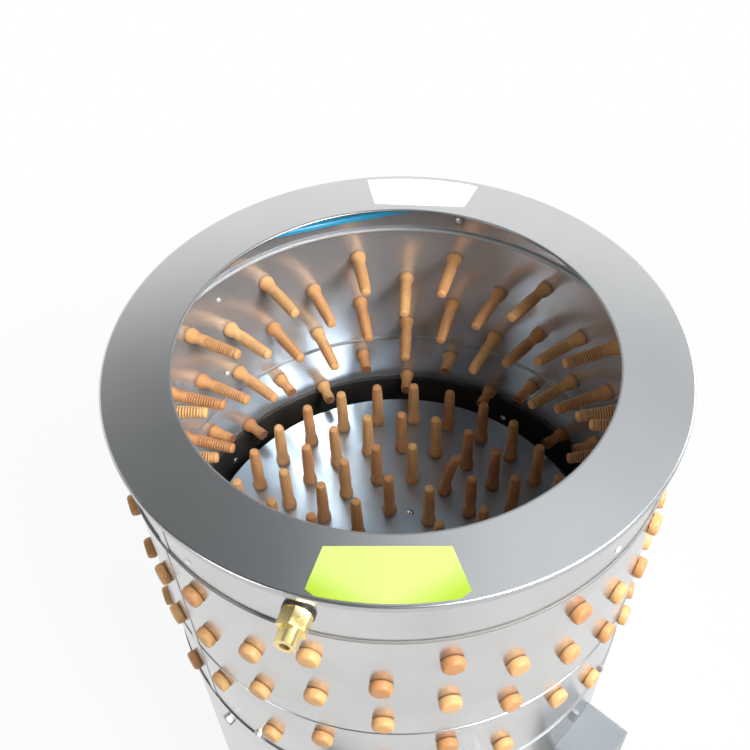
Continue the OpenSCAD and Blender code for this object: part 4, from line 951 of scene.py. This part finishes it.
WALL_LEVEL = 1.10
CEILING_LEVEL = 0.17
CEILING_RIGHT = (0.26, 0.68)
NEAR_LEVEL = 0.05
NEAR_PATCH = 1.70
CEILING_TINT = (0.93, 0.97, 1.0)
WALL_TINT = (1.0, 0.995, 0.98)
NEAR_TINT = (0.80, 0.91, 1.0)

# Where the sky changes, as stretches of its direction's x, y or z
RIGHT_X = (-0.14, 0.10)
CEILING_Z = (0.64, 0.82)
WALLS_Z = (0.69, 0.575)
FAR_Y = (0.05, 0.40)
PATCH_X = (0.02, 0.42)
PATCH_Z = (0.45, 0.75)

# Floor: its half width, and the stretch over which it turns white
FLOOR_HALF = 30
FLOOR_FADE = (0.6, 2.0)
FLOOR_NEAR_SHARE = 0.91


def soft_box(name, place, aim, size, power, spread=180):
    lamp = bpy.data.lights.new(name, "AREA")
    lamp.shape = "RECTANGLE"
    lamp.size = size
    lamp.size_y = size
    lamp.energy = power
    lamp.spread = math.radians(spread)
    box = bpy.data.objects.new(name, lamp)
    scene.collection.objects.link(box)
    box.location = place
    box.rotation_euler = (Vector(aim) - Vector(place)).to_track_quat("-Z", "Y").to_euler()


def studio_sky():
    """Far side: pale walls under a ceiling that is dim on the left and brighter on the right.
    Near side: dark, with a bright patch high on the right.
    The camera sees plain white everywhere, and gloss sees it on the pale walls."""
    world = bpy.data.worlds.new("studio")
    scene.world = world
    world.use_nodes = True
    world.node_tree.nodes.clear()
    sky = Tree(world.node_tree)
    seen = sky.rays("Camera")
    mirrored = sky.rays("Glossy", "Transmission")
    x, y, z = sky.split(sky.add("ShaderNodeTexCoord", out="Generated"))
    right = sky.span(x, *RIGHT_X, eased=True)
    ceiling = CEILING_LEVEL + right * sky.span(z, *CEILING_Z, *CEILING_RIGHT)
    walls = sky.span(z, *WALLS_Z, eased=True)
    behind = sky.span(y, *FAR_Y, eased=True)
    far_side = ceiling + walls * (WALL_LEVEL - ceiling)
    near_side = NEAR_LEVEL + NEAR_PATCH * sky.span(x, *PATCH_X, eased=True) * sky.span(z, *PATCH_Z)
    level = near_side + behind * (far_side - near_side)
    tint = sky.mix(behind, NEAR_TINT, sky.mix(walls, CEILING_TINT, WALL_TINT))
    hidden = sky.add("ShaderNodeBackground", None, {"Color": tint, "Strength": level})
    white = sky.add("ShaderNodeBackground", None, {"Color": (1, 1, 1, 1), "Strength": 1.0})
    shown = sky.maths("MAXIMUM", seen, mirrored * walls * behind)
    both = sky.add("ShaderNodeMixShader", None, {0: shown, 1: hidden, 2: white})
    sky.add("ShaderNodeOutputWorld", None, {"Surface": both})


def floor_paint():
    """Pale matt floor. To the camera and in gloss it is nearly white by the machine and white farther off."""
    f = Finish("pale_floor")
    seen = f.rays("Camera", "Glossy", "Transmission")
    share = f.span(f.reach(), *FLOOR_FADE, FLOOR_NEAR_SHARE, 1.0)
    matt = f.add("ShaderNodeBsdfDiffuse", None, {"Color": (0.76, 0.76, 0.755, 1)})
    white = f.add("ShaderNodeEmission", None, {"Color": (1, 1, 1, 1), "Strength": 1.0})
    both = f.add("ShaderNodeMixShader", None, {0: seen * share, 1: matt, 2: white})
    f.add("ShaderNodeOutputMaterial", None, {"Surface": both})
    return f.material


def build_studio():
    corners = [(x * FLOOR_HALF, y * FLOOR_HALF, 0) for x, y in ((-1, -1), (1, -1), (1, 1), (-1, 1))]
    floor = new_piece("floor", corners, [(0, 1, 2, 3)], floor_paint(), smooth=False)
    soft_box("right_key", place=(1.42, -1.38, 2.4), aim=(-0.05, 0.1, 0.7), size=1.2, power=15.5, spread=60)
    soft_box("left_fill", place=(-1.65, -1.4, 1.76), aim=(0.12, 0.12, 0.8), size=0.8, power=1.3, spread=50)
    soft_box("right_back", place=(1.9, 1.0, 1.5), aim=(0.5, 0.2, 0.2), size=1.2, power=14)
    studio_sky()
    scene.view_settings.view_transform = "Standard"


build_studio()
